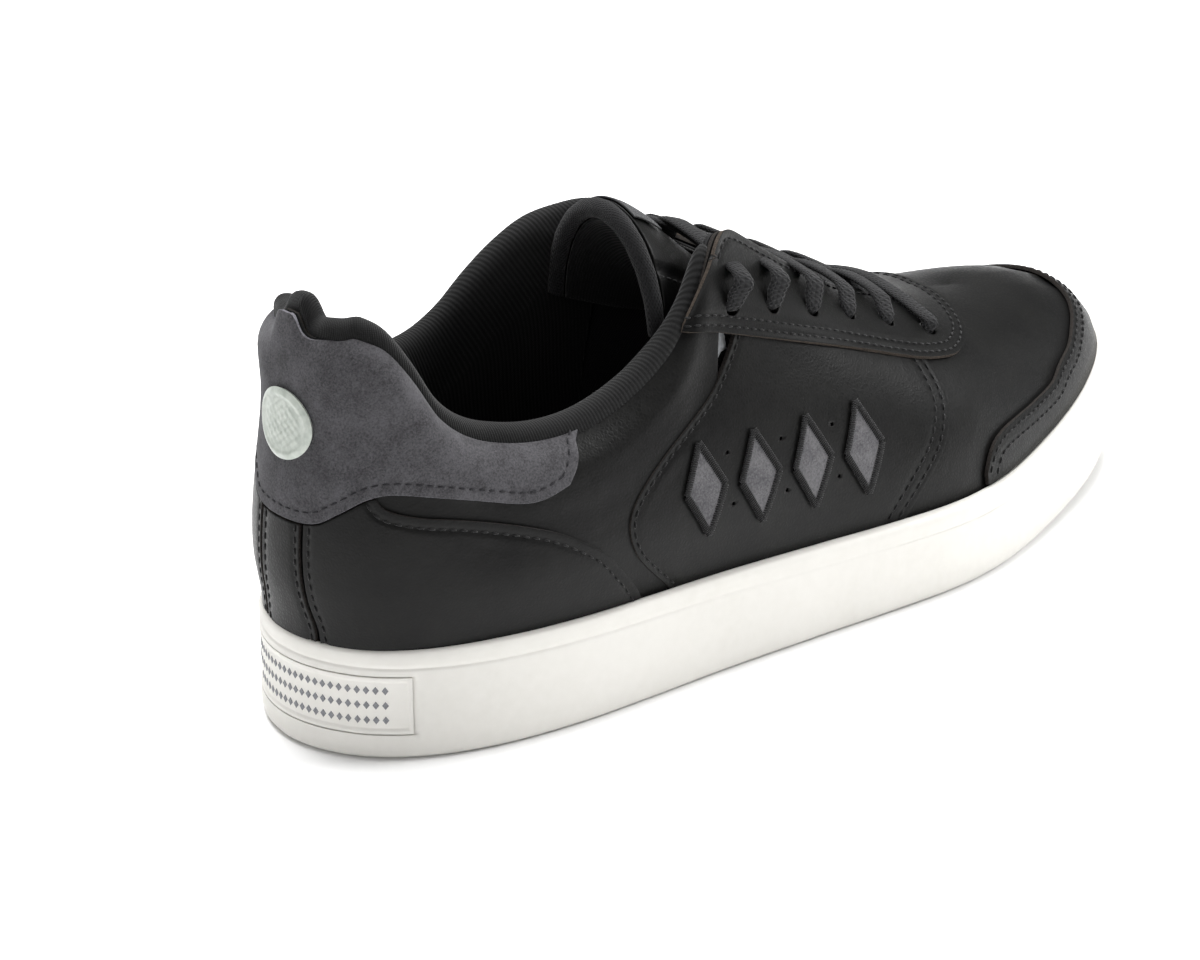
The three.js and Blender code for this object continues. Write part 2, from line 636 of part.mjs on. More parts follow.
function diamond(index, side) {
  const x = (DIAMOND_ROW.x + index * DIAMOND_PITCH) * gradeX;
  const z = (DIAMOND_ROW.z - index * DIAMOND_ROW.drop) * gradeZ;
  const [wide, tall] = DIAMOND_HALF;
  const block = sideBlock([corner(x - wide, z), corner(x, z - tall), corner(x + wide, z),
    corner(x, z + tall)]);
  return overlayLayer.intersect(block).intersect(half(side)).subtract(stayZone);
}

function heelBadge() {
  const geometry = new THREE.CylinderGeometry(BADGE_RADIUS, BADGE_RADIUS, 30, 24);
  geometry.rotateZ(Math.PI / 2);
  geometry.translate(0, HEEL_CENTRE, 90 * gradeZ);
  const back = 2 * GAP + SUEDE;
  return layer(back + BADGE_THICKNESS, back, footbed).intersect(solid(geometry));
}

const LACE_OUT = 2 * GAP + OVERLAY + LACE_THICKNESS / 2;
const LACE_IN = -(LEATHER + STIFFENER + LINING + 3 * GAP + LACE_THICKNESS / 2 + 0.1);

// ---- Tongue ----------------------------------------------------------------------------
const TONGUE = {
  ridge: through([[108, 122.5], [116, 118.5], [128, 108.5], [140, 99], [155, 90.5], [170, 82],
    [185, 74.2], [200, 66.6], [214, 60.8], [226, 56.6]]),
  wing: through([[108, 94], [120, 88], [140, 78], [160, 70], [185, 60], [205, 54], [226, 49]]),
  half: through([[108, 19], [120, 20.5], [140, 22.5], [160, 24], [185, 24.5], [205, 22],
    [226, 19]]),
  root: 226,
  top: 108,
};

function tonguePoint(along, across) {
  const x = mix(TONGUE.root, TONGUE.top, along);
  const at = clamp01((TONGUE.root - x) / (TONGUE.root - TONGUE.top)) * (TONGUE.root - TONGUE.top);
  const station = TONGUE.root - at;
  const turn = across * Math.PI / 2 * 0.96;
  const top = TONGUE.ridge(station);
  const low = TONGUE.wing(station);
  const beyond = station - x;
  return new THREE.Vector3(
    x * gradeX,
    (ridgeSide(x) * 0.8 - 1 * ease(200, 110, x) + TONGUE.half(station) * Math.sin(turn)) * gradeY,
    (low + (top - low) * Math.cos(turn) + beyond * 0.5) * gradeZ,
  );
}

function tongueNormal(along, across) {
  const step = 0.01;
  const forward = tonguePoint(along + step, across).sub(tonguePoint(along - step, across));
  const sideways = tonguePoint(along, across + step).sub(tonguePoint(along, across - step));
  return sideways.cross(forward).normalize();
}

// A sheet that follows the tongue between two depths; `margin` pulls its edges in.
function tongueSheet(from, to, span, depthTop, depthLow, segments = [7, 6, 1]) {
  return bend(segments, (a, b, c) => {
    const along = mix(from, to, a);
    const across = mix(-span, span, b);
    const point = tonguePoint(along, across);
    return point.addScaledVector(tongueNormal(along, across), -mix(depthLow, depthTop, c));
  });
}

const TONGUE_STACK = OVERLAY + TONGUE_FOAM + LINING + 2 * PLY_GAP;
const TONGUE_END = 0.955;
const BINDING_START = TONGUE_END + 0.008;
const BINDING_PROUD = 0.2;
const LABEL = { from: 0.83, to: 0.93, half: 0.26, thickness: 0.6 };
const underLacing = lastBody(
  (x, z) => LACE_IN - LACE_THICKNESS / 2 - GAP - padding(x, z),
  deepBase,
);

function tonguePiece(from, to) {
  return tongueSheet(0, TONGUE_END, 1, from, to).intersect(underLacing);
}

function tongueBinding() {
  return tongueSheet(BINDING_START, 1, 1, -BINDING_PROUD, TONGUE_STACK + BINDING_PROUD, [1, 6, 1]);
}

function tongueLabel() {
  return tongueSheet(LABEL.from, LABEL.to, LABEL.half, -GAP - LABEL.thickness, -GAP, [2, 3, 1]);
}

const tongueOuter = () => tonguePiece(0, OVERLAY);
const tongueFoam = () => tonguePiece(OVERLAY + PLY_GAP, OVERLAY + PLY_GAP + TONGUE_FOAM);
const tongueLining = () => tonguePiece(TONGUE_STACK - LINING, TONGUE_STACK);

// ---- Lace ------------------------------------------------------------------------------
// A flat ribbon through [point, up, width] stations.
function ribbon(stations, segments) {
  const points = stations.map((station) => station.at);
  const path = new THREE.CatmullRomCurve3(points, false, 'centripetal');
  const blend = (t, key) => {
    const scaled = t * (stations.length - 1);
    const index = Math.min(Math.floor(scaled), stations.length - 2);
    const a = stations[index][key];
    const b = stations[index + 1][key];
    const part = scaled - index;
    return typeof a === 'number' ? mix(a, b, part) : a.clone().lerp(b, part);
  };
  return bend([segments, 1, 1], (along, across, up) => {
    const at = path.getPoint(along);
    const tangent = path.getTangent(along);
    const across3 = tangent.clone().cross(blend(along, 'up')).normalize();
    const over = across3.clone().cross(tangent).normalize();
    return at.addScaledVector(across3, (across - 0.5) * blend(along, 'width'))
      .addScaledVector(over, (up - 0.5) * LACE_THICKNESS);
  });
}

const LACE_UP = new THREE.Vector3(0.35, 0, 1).normalize();
const offLast = ({ point, normal }, distance) => point.clone().addScaledVector(normal, distance);

// The direction along the surface from an eyelet to the throat.
function toward(eyelet, side) {
  return new THREE.Vector3(0, -side, 0).addScaledVector(eyelet.normal, side * eyelet.normal.y)
    .normalize();
}

// From under one eyestay, over the tongue and down into the eyelet of the other side.
function strand(start, from, finish, to) {
  const entry = eyelets[start][from];
  const exit = eyelets[finish][to];
  const inStart = toward(entry, from);
  const inFinish = toward(exit, to);
  const middleX = (entry.point.x + exit.point.x) / 2;
  const patternX = middleX / gradeX;
  const middle = new THREE.Vector3(middleX, ridgeSide(patternX) * gradeY,
    ridgeHeight(patternX) * gradeZ + LACE_DIP);
  const under = (lift, inward) => offLast(entry, LACE_IN + lift).addScaledVector(inStart, inward);
  const over = (lift, inward) => offLast(exit, LACE_OUT + lift).addScaledVector(inFinish, inward);
  return ribbon([
    { at: offLast(entry, 0.5), up: inStart.clone().negate(), width: LACE_PINCH },
    { at: under(0.4, LACE_TURN), up: entry.normal, width: LACE_PINCH },
    { at: under(-0.2, LACE_FLAT), up: entry.normal, width: LACE_WIDTH },
    { at: middle, up: LACE_UP, width: LACE_WIDTH },
    { at: over(0.7, LACE_REST), up: exit.normal, width: LACE_WIDTH },
    { at: over(0.2, LACE_LAND), up: exit.normal, width: LACE_WIDTH * 0.75 },
    { at: offLast(exit, 0.2), up: inFinish.clone().negate(), width: LACE_PINCH },
  ], 7);
}

function frontBar() {
  const left = eyelets[0][LATERAL];
  const right = eyelets[0][MEDIAL];
  const middle = left.point.clone().add(right.point).multiplyScalar(0.5);
  middle.z = (ridgeHeight(middle.x / gradeX)) * gradeZ + LACE_OUT;
  const inward = new THREE.Vector3(0, 1, 0);
  const barBend = (eyelet, side) => offLast(eyelet, LACE_OUT + 0.4)
    .add(new THREE.Vector3(0, -side * LACE_BAR_IN, LACE_BAR_LIFT));
  return ribbon([
    { at: offLast(left, LACE_IN), up: inward.clone().negate(), width: LACE_PINCH },
    { at: offLast(left, 0.2), up: inward.clone().negate(), width: LACE_PINCH },
    { at: barBend(left, LATERAL), up: left.normal, width: LACE_WIDTH },
    { at: middle, up: LACE_UP, width: LACE_WIDTH },
    { at: barBend(right, MEDIAL), up: right.normal, width: LACE_WIDTH },
    { at: offLast(right, 0.2), up: inward, width: LACE_PINCH },
    { at: offLast(right, LACE_IN), up: inward, width: LACE_PINCH },
  ], 7);
}

function lace() {
  const pieces = [frontBar()];
  for (let pair = 1; pair < EYELET_PAIRS; pair += 1) {
    pieces.push(strand(pair - 1, MEDIAL, pair, LATERAL));
    pieces.push(strand(pair - 1, LATERAL, pair, MEDIAL));
  }
  const walls = layer(2 * GAP + OVERLAY, (x, z) => liningInner(x, z) - GAP, footbed)
    .subtract(opening(0, GAP)).subtract(eyeletHoles(EYELET_RADIUS - GAP));
  return wasm.Manifold.union(pieces).subtract(walls);
}

// ---- Assembly --------------------------------------------------------------------------
const leather = { color: 0x1d1d1e, roughness: 0.42, metalness: 0 };
const suede = { color: 0x5c5b60, roughness: 0.95, metalness: 0 };
const rubber = { color: 0xeeedea, roughness: 0.6, metalness: 0 };
const textile = { color: 0x161617, roughness: 0.9, metalness: 0 };
const foam = { color: 0x8d8f92, roughness: 0.95, metalness: 0 };
const fibre = { color: 0xb9a98c, roughness: 0.85, metalness: 0 };
const plate = { color: 0x3c4045, roughness: 0.5, metalness: 0 };
const badge = { color: 0xcdd2cc, roughness: 0.35, metalness: 0 };

const shoe = new THREE.Group();

// Cutting leaves crumbs where a seam grazes a face; a piece is its one main body.
function mainBody(shape) {
  const bodies = shape.decompose();
  return bodies.reduce((best, body) => (body.volume() > best.volume() ? body : best));
}

function place(name, shape, finish) {
  const mesh = mainBody(shape).getMesh();
  const geometry = new THREE.BufferGeometry();
  const corners = Float32Array.from(mesh.vertProperties);
  geometry.setAttribute('position', new THREE.BufferAttribute(corners, 3));
  geometry.setIndex(new THREE.BufferAttribute(Uint32Array.from(mesh.triVerts), 1));
  const piece = new THREE.Mesh(geometry, new THREE.MeshStandardMaterial(finish));
  piece.name = name;
  shoe.add(piece);
}

place('cupsole', cupsole(), rubber);
place('midsole_foam', midsoleFoam(), foam);
place('shank', shankBlock(0), plate);
place('strobel_board', strobelBoard(), fibre);
place('sockliner_foam', insoleSlab(0, INSOLE_FOAM), foam);
place('sockliner_cover', insoleSlab(INSOLE_FOAM + GAP, INSOLE_FOAM + GAP + INSOLE_COVER), textile);
place('vamp', vamp(), leather);
place('toe_overlay', toeOverlay(), leather);
place('toe_puff', toePuff(), fibre);
place('eyestay', eyestay(), leather);
place('heel_tab', heelTab(), suede);
place('heel_badge', heelBadge(), badge);
place('heel_plaque', heelPlaque(), rubber);
place('heel_back_strip', backStrip(), leather);
place('heel_counter', heelCounter(), fibre);
place('collar_foam', collarFoam(), foam);
place('collar_lining', collarLining(), textile);
place('vamp_lining', vampLining(), textile);
for (const [word, side] of [['lateral', LATERAL], ['medial', MEDIAL]]) {
  place(`quarter_${word}`, quarter(side), leather);
  place(`rear_quarter_${word}`, rearQuarter(side), leather);
  place(`heel_foxing_${word}`, foxing(side), leather);
  place(`eyestay_backing_${word}`, stayBacking(side), fibre);
  for (let index = 0; index < DIAMONDS; index += 1) {
    place(`diamond_${word}_${index + 1}`, diamond(index, side), suede);
  }
}
place('tongue_outer', tongueOuter(), leather);
place('tongue_foam', tongueFoam(), foam);
place('tongue_lining', tongueLining(), textile);
place('tongue_binding', tongueBinding(), textile);
place('tongue_label', tongueLabel(), textile);
place('lace', lace(), textile);

// Origin on the ground, under the middle of the shoe.
const extent = new THREE.Box3().setFromObject(shoe);
const middle = extent.getCenter(new THREE.Vector3());
shoe.position.set(-middle.x, -middle.y, -extent.min.z);

export default shoe;
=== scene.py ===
"""Spikeless golf shoe, right foot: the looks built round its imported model.

Lengths inside the classes are millimetres on the shoe's own pattern: x from heel to toe, y to the
inner side, z up from the ground. `Bench.place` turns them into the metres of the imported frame.
"""

import json
import logging
import math
from dataclasses import dataclass, field, replace
from enum import Enum
from typing import Callable, Optional, Sequence

import bmesh
import bpy
import numpy as np
from mathutils import Matrix, Vector
from mathutils.bvhtree import BVHTree
from mathutils.kdtree import KDTree


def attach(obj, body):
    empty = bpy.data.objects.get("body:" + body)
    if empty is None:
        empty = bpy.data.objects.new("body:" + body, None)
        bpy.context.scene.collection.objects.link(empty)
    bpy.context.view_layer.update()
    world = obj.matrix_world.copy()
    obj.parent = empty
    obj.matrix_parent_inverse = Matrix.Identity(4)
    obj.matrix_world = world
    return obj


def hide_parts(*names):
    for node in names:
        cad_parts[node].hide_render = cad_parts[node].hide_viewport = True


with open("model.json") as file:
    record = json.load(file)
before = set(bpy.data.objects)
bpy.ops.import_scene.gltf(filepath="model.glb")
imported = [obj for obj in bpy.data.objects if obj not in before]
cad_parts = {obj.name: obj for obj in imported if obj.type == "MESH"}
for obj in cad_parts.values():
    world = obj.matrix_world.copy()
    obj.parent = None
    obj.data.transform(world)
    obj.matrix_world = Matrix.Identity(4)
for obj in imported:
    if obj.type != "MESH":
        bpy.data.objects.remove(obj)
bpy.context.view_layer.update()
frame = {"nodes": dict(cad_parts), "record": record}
LOG = logging.getLogger("golf_shoe")

Array = np.ndarray
Curve = Callable[[Array], Array]

MM = 0.001
LENGTH = 301.0
HEEL_CENTRE = 0.5
HEEL_PAD_AT = (46.0, -1.0)          # the sole's rest face, which is the record's mount
RIM_CLEAR = 0.3
LEATHER = 1.4
OVERLAY = 1.2
OVERLAY_FACE = 1.5                  # outer face of the overlays, above the main leather
SUEDE_FACE = 1.7
STIFFENER_FACE = -1.7
LINING_FACE = -2.8
SKIN = 0.8                          # thickness of lining and stiffener
EYELET_RADIUS = 2.5
LACE_WIDTH = 7.6
LACE_THICKNESS = 1.5
REAR_LAP = 133.0                    # where the side panel's rear and front seams reach the opening
FRONT_LAP = 196.0
THROAT_FRONT = 212.0
LINING_LAP = 122.0
TAB_REACH = 71.6
UV_UNIT = 100.0                     # millimetres that one unit of a UV map stands for


class Side(Enum):
    """The two sides of the shoe, with the sign of their y."""

    LATERAL = -1
    MEDIAL = 1

    @property
    def word(self) -> str:
        """The side's name as it stands in the names of pieces."""
        return self.name.lower()

    @property
    def zone(self) -> tuple[float, float]:
        """The side's girths."""
        return (0.0, 1.0) if self is Side.MEDIAL else (-1.0, 0.0)


class Chart(Enum):
    """How a flat pattern coordinate runs over the last."""

    GIRTH = "girth"                 # (round the shoe, up the wall)
    RIDGE = "ridge"                 # (heel to toe, across the ridge from lateral to medial)

    def unroll(self, at: Array) -> tuple[Array, Array]:
        """Turns chart coordinates into girth and rise.

        Args:
            at: Points of the chart, one a row.

        Returns:
            The girth and the rise of each point.
        """
        if self is Chart.GIRTH:
            return at[:, 0], at[:, 1]
        return np.where(at[:, 1] >= 0, at[:, 0], -at[:, 0]), 1 - np.abs(at[:, 1])


# ---- Curves ------------------------------------------------------------------------------------


def mix(start, end, share):
    """Linear blend from start to end."""
    return start + (end - start) * share


def ease(start: float, end: float, x) -> Array:
    """Smooth step from 0 at start to 1 at end."""
    t = np.clip((np.asarray(x, float) - start) / (end - start), 0, 1)
    return t * t * (3 - 2 * t)


def through(*stations: tuple[float, float]) -> Curve:
    """A smooth curve through stations, flat past both ends.

    Args:
        stations: Pairs of position and value, in rising order of position.

    Returns:
        A function of position.
    """
    at, value = (np.array(column, float) for column in zip(*stations))
    before = np.maximum(np.arange(len(at)) - 1, 0)
    after = np.minimum(np.arange(len(at)) + 1, len(at) - 1)
    slope = (value[after] - value[before]) / (at[after] - at[before])

    def curve(x: Array) -> Array:
        """Value at x."""
        x = np.clip(np.asarray(x, float), at[0], at[-1])
        i = np.clip(np.searchsorted(at, x, side="left") - 1, 0, len(at) - 2)
        span = at[i + 1] - at[i]
        t = (x - at[i]) / span
        u = 1 - t
        ends = value[i] * u * u * (1 + 2 * t) + value[i + 1] * t * t * (3 - 2 * t)
        return ends + span * t * u * (slope[i] * u - slope[i + 1] * t)

    return curve


def spline(points: Sequence[tuple[float, ...]], steps: int = 8) -> Array:
    """A Catmull-Rom curve through points.

    Args:
        points: The points, of any dimension.
        steps: How many steps each span takes.

    Returns:
        The points of the curve, one a row.
    """
    knots = np.array(points, float)
    padded = np.vstack([2 * knots[0] - knots[1], knots, 2 * knots[-1] - knots[-2]])
    made = []
    for i in range(len(knots) - 1):
        p0, p1, p2, p3 = padded[i:i + 4]
        for t in np.linspace(0, 1, steps, endpoint=False):
            made.append(0.5 * (2 * p1 + (p2 - p0) * t + (2 * p0 - 5 * p1 + 4 * p2 - p3) * t**2
                               + (3 * p1 - p0 - 3 * p2 + p3) * t**3))
    made.append(knots[-1])
    return np.array(made)


def lengths(points: Array) -> Array:
    """Distance along a line of points, from its start to each point."""
    steps = np.linalg.norm(np.diff(points, axis=0), axis=1)
    return np.concatenate([[0.0], np.cumsum(steps)])


def even(line: Array, count: int, ruler: Optional[Array] = None) -> Array:
    """Spaces a line's points evenly.

    Args:
        line: The line, one point a row.
        count: How many points to return.
        ruler: Points whose distances stand for the line's own.

    Returns:
        The evenly spaced points.
    """
    run = lengths(line if ruler is None else ruler)
    at = np.linspace(0, run[-1], count)
    return np.stack([np.interp(at, run, line[:, k]) for k in range(line.shape[1])], -1)


# ---- The last ------------------------------------------------------------------------------------


@dataclass(frozen=True)
class Last:
    """The form the shoe is built on: a wall at the heel that turns into a dome over the toes.

    A place on it is a girth and a rise. Girth 0 is the heel's centre, 0 to 1 the medial side,
    1 the toe's centre and 1 to 2 (or -1 to 0) the lateral side. Rise 0 is just inside the
    cupsole and 1 the ridge; past 1 the surface goes on down the other side.
    """

    chimney: float = 132.0
    tuck: float = 6.0
    edge_side: float = 4.7
    edge_heel: float = 2.6
    medial_lean: float = 0.5
    centre: Curve = through((0, 0), (20, -0.5), (60, -2), (100, -4.5), (145, -6.3), (195, -3.2),
                            (240, 4.6), (270, 7.5), (301, 8.6))
    half_widths: tuple = ((7, 20.6), (20, 31.8), (40, 39.6), (64, 43), (91, 43), (118, 42.8),
                          (145, 44.2), (171, 47.6), (196, 51), (219, 51.4), (240, 48.4),
                          (262, 41.8), (281, 32), (294, 20))
    rim: Curve = through((0, 31.6), (105, 28.2), (210, 24.9), (255, 28.5), (301, 36))
    ridge: Curve = through((58, 150), (100, 134), (120, 118.5), (140, 104), (170, 88), (200, 73),
                           (225, 63), (246, 57.4))
    ridge_side: Curve = through((58, 0), (140, 0), (200, 1.5), (246, 6))
    heel_lean: Curve = through((20, 0), (34, -0.006), (48, -0.042), (65, -0.03), (85, 0.022),
                               (105, 0.052), (122, 0.057))
    side_lean: Curve = through((20, 0), (30, 0), (45, -0.01), (60, 0.06), (78, 0.2), (100, 0.26),
                               (135, 0.28))

    @staticmethod
    def roundness(x: Array) -> Array:
        """Half width of a unit ellipse at x."""
        return np.sqrt(np.maximum(1e-9, 4 * (x / LENGTH) * (1 - x / LENGTH)))

    @staticmethod
    def spring(x: Array) -> Array:
        """How high the sole has lifted off the ground towards the toe."""
        return 7.7 * np.clip((np.asarray(x, float) - 199) / 102, 0, 1) ** 2.2

    @staticmethod
    def ridge_station(x: Array) -> Array:
        """Where along the ridge the wall that starts at x ends."""
        def soft_least(a: Array, b: float, blend: float) -> Array:
            """Smooth least of two values."""
            h = np.clip(0.5 + 0.5 * (b - a) / blend, 0, 1)
            return b * (1 - h) + a * h - blend * h * (1 - h)

        return -soft_least(-soft_least(x, 246, 50), -58, 50)

    def outline(self, girth: Array) -> Array:
        """The cupsole's outline in plan at each girth."""
        lap = np.mod(girth, 2.0)
        run = np.where(lap <= 1, lap, 2 - lap)
        side = np.where(lap <= 1, 1.0, -1.0)
        x = LENGTH * (1 - np.cos(np.pi * run)) / 2
        at, half = (np.array(column, float) for column in zip(*self.half_widths))
        fullness = through(*zip(at, half / self.roundness(at)))
        return np.stack([x, self.centre(x) + side * fullness(x) * np.sin(np.pi * run)], -1)

    def plan_normal(self, girth: Array) -> Array:
        """The outline's outward direction in plan."""
        step = 1e-3
        along = self.outline(girth + step) - self.outline(girth - step)
        along /= np.linalg.norm(along, axis=1, keepdims=True)
        return np.stack([-along[:, 1], along[:, 0]], -1)

    def point(self, girth: Array, rise: Array) -> Array:
        """Points of the upper's outer face.

        Args:
            girth: Girth of each point.
            rise: Rise of each point, 0 to 1, or to 2 down the other side.

        Returns:
            The points in pattern millimetres, one a row.
        """
        girth = np.where(rise > 1, -girth, girth)
        rise = np.clip(np.where(rise > 1, 2 - rise, rise), 0, 1)
        edge_line = self.outline(girth)
        x = edge_line[:, 0]
        medial = np.mod(girth, 2.0) <= 1
        edge = mix(self.edge_heel, self.edge_side, ease(0, 45, x))
        foot = edge_line - edge[:, None] * self.plan_normal(girth)
        foot_z = self.rim(x) - self.tuck
        top_x = self.ridge_station(x)
        turn = np.pi * rise / 2
        swell = mix(0.93, 0.88, ease(60, 200, x))
        dome_z = foot_z + (self.ridge(top_x) - foot_z) * np.sin(turn) ** swell
        wall_z = foot_z + (self.chimney - foot_z) * rise
        lean = self.side_lean(wall_z) * np.where(medial, self.medial_lean, 1.0)
        wall_in = mix(self.heel_lean(wall_z), lean, ease(2, 45, x))
        blend = ease(85, 185, x)
        inward = mix(wall_in, 1 - np.cos(turn), blend)
        return np.stack([foot[:, 0] + (top_x - foot[:, 0]) * inward,
                         foot[:, 1] + (self.ridge_side(top_x) - foot[:, 1]) * inward,
                         mix(wall_z, dome_z, blend)], -1)

    def normal(self, girth: Array, rise: Array) -> Array:
        """Outward direction of the upper's face, by differences that cross the ridge."""
        step = 0.01
        low = np.maximum(rise - step, 0)
        up = self.point(girth, rise + step) - self.point(girth, low)
        at = np.minimum(rise, 0.985)
        along = self.point(girth + step, at) - self.point(girth - step, at)
        made = np.cross(up, along)
        size = np.linalg.norm(made, axis=1, keepdims=True)
        return made / np.maximum(size, 1e-12)

    def rise_at(self, girth: Array, height: Callable[[Array], Array]) -> Array:
        """The rise at which the wall reaches a height.

        Args:
            girth: The girths to solve at.
            height: Gives the wanted z for points, so a line can follow x or y.

        Returns:
            One rise for each girth.
        """
        low, high = np.zeros_like(girth), np.ones_like(girth)
        for _ in range(26):
            middle = (low + high) / 2
            at = self.point(girth, middle)
            under = at[:, 2] < height(at)
            low, high = np.where(under, middle, low), np.where(under, high, middle)
        return (low + high) / 2

    def locate(self, wanted: Array, axes: tuple[int, int], zone: tuple[float, float]) -> Array:
        """Finds the girth and rise of points known by two of their coordinates.

        Args:
            wanted: The two coordinates, one point a row.
            axes: Which two of x, y and z they are.
            zone: Lowest and highest girth to look in.

        Returns:
            Girth and rise, one point a row.
        """
        grid = np.stack(np.meshgrid(np.linspace(*zone, 181), np.linspace(0, 1, 91)), -1)
        grid = grid.reshape(-1, 2)
        seen = self.point(grid[:, 0], grid[:, 1])[:, axes]
        gap = ((wanted[:, None, :] - seen[None]) ** 2).sum(-1)
        at = grid[gap.argmin(1)]
        step = 1e-4
        for _ in range(12):
            here = self.point(at[:, 0], at[:, 1])[:, axes]
            by_girth = (self.point(at[:, 0] + step, at[:, 1])[:, axes] - here) / step
            by_rise = (self.point(at[:, 0], at[:, 1] - step)[:, axes] - here) / -step
            matrix = np.stack([by_girth, by_rise], -1)
            matrix += np.eye(2) * 1e-3
            move = np.linalg.solve(matrix, (wanted - here)[..., None])[..., 0]
            at = at + np.clip(move, -0.02, 0.02)
            at[:, 0] = np.clip(at[:, 0], *zone)
            at[:, 1] = np.clip(at[:, 1], 0, 1)
        return at


LAST = Last()


def girth_at(x: float, side: Side) -> float:
    """The girth of the outline's point at x on one side."""
    return side.value * math.acos(1 - 2 * x / LENGTH) / math.pi


def seen_from_side(points: Sequence, side: Side, steps: int = 8) -> Array:
    """Chart points, girth and rise, of a pattern line drawn from the side."""
    return LAST.locate(spline(points, steps), (0, 2), side.zone)


def seen_from_above(points: Sequence, zone: tuple[float, float]) -> Array:
    """Chart points, girth and rise, of a pattern line drawn from above."""
    return LAST.locate(spline(points), (0, 1), zone)


# ---- Pattern lines -------------------------------------------------------------------------------


@dataclass(frozen=True)
class Pattern:
    """The shoe's cutting pattern: where one piece of the upper ends and the next begins."""

    collar: dict = field(default_factory=lambda: {
        Side.LATERAL: through((-14, 121.5), (4, 121), (11, 116.6), (18, 112.6), (24.5, 103.8),
                              (32, 91.3), (42, 83.2), (54, 79.1), (68, 77.8), (82, 79.5),
                              (95, 83.8), (106, 90), (114, 97.5), (120, 105), (124, 109.6),
                              (130, 108.6), (145, 102.6)),
        Side.MEDIAL: through((-14, 121.5), (4, 121), (11, 114.2), (19, 109.8), (27, 103),
                             (35, 95.5), (44, 89), (55, 84), (66, 84.4), (76, 89), (85, 96.5),
                             (94, 103), (104, 108.5), (114, 110.6), (122, 111), (130, 108.6),
                             (145, 102.6)),
    })
    heel_top: Curve = through((-34, 140), (-25, 122), (-16, 115.8), (-10, 114.8), (-4.8, 115),
                              (-1.6, 119.4), (1.8, 121), (5, 119.4), (8.4, 114.8), (12, 113.6),
                              (18, 113.6), (27, 120), (36, 140))
    corner: float = 124.0           # where the collar meets the laces
    rear_seam: tuple = ((131.5, 94), (127.6, 87.3), (117.3, 76.8), (107.2, 70.6),
                        (97.7, 65.2), (89.5, 59.5), (84, 54), (82.2, 48.8), (83.4, 43),
                        (87, 37.5), (95, 28.9), (104, 18.5))
    vamp_seam: tuple = ((197.6, 66), (199.2, 57.5), (198.9, 51), (196.5, 45.8),
                        (192, 40), (185.6, 34.2), (177, 26), (171, 19))
    tab_front: tuple = ((64.8, 65.8), (69, 71), (71.2, 77.5), (71.8, 82))
    tab: Curve = through((0, 64.8), (3, 65.8), (6.1, 69.2), (10.8, 73.2), (16, 74.4),
                         (26.8, 71.7), (35.8, 68.8), (49.4, 64.6), (57, 64), (64.8, 65.8))
    foxing: tuple = ((13, 73.2), (15.1, 70.2), (22, 67.3), (32.5, 64.4), (43.6, 60.9),
                     (53.6, 57.4), (62.2, 53.3), (71.7, 46.7), (77.1, 40.9), (82, 34.6),
                     (84.8, 29.6))
    stay: tuple = ((104, 96.5), (110.3, 94.2), (119.8, 91.5), (131.5, 87.1), (149.1, 80.3),
                   (167.5, 73.1), (186.7, 65.1), (199, 60.4))
    stay_front: tuple = ((205, -38), (210, -31.8), (217, -28), (223, -23), (227.4, -16),
                         (230.6, -7), (232.2, 3), (231.6, 13), (228.8, 21), (224, 28),
                         (217, 33.6), (209.5, 37.6))
    throat: dict = field(default_factory=lambda: {
        Side.LATERAL: ((128, -22), (145, -18.2), (165, -15.5), (185, -12.6), (200, -9.6),
                       (208, -5.6), (211.4, -1), (212, 1.8)),
        Side.MEDIAL: ((130, 20.5), (147, 18), (167, 16.4), (187, 15.4), (202, 13), (209, 9.4),
                      (211.6, 5), (212, 1.8)),
    })
    toe_line: tuple = ((207.6, -47.6), (213.6, -44.8), (226.7, -40.3), (238, -36.3), (249, -32),
                       (256, -28), (265, -22.8), (271.2, -17.8), (276.5, -12.6), (280.3, -7),
                       (282.4, 0), (283.2, 8), (282.4, 15.6), (280, 22.4), (276, 28.6),
                       (270, 34), (262, 38.8), (253, 42.4), (241, 45.8), (228, 49), (215, 51.2))
    lining_seam: tuple = ((111, 98), (113, 82), (109, 62), (104, 40), (102, 24))
    counter: Curve = through((0, 76), (10, 75), (30, 68), (52, 58), (64, 46), (70, 30))
    strip_half: Curve = through((0, 9.6), (34, 9.6), (43, 8.2), (55, 7.4), (90, 7.2))

    def topline_height(self, side: Side) -> Callable[[Array], Array]:
        """Height of the collar's edge for points of one side."""
        def height(at: Array) -> Array:
            """The lower of the collar line and, at the heel, the line seen from behind."""
            by_side = self.collar[side](at[:, 0])
            by_heel = np.where(at[:, 0] < 24, self.heel_top(at[:, 1]), 200.0)
            return np.minimum(by_side, by_heel)

        return height

    def topline(self, girth: Array) -> Array:
        """Rise of the collar's edge at each girth from -1 to 1."""
        outer = LAST.rise_at(girth, self.topline_height(Side.LATERAL))
        inner = LAST.rise_at(girth, self.topline_height(Side.MEDIAL))
        return np.where(girth < 0, outer, inner)


PATTERN = Pattern()


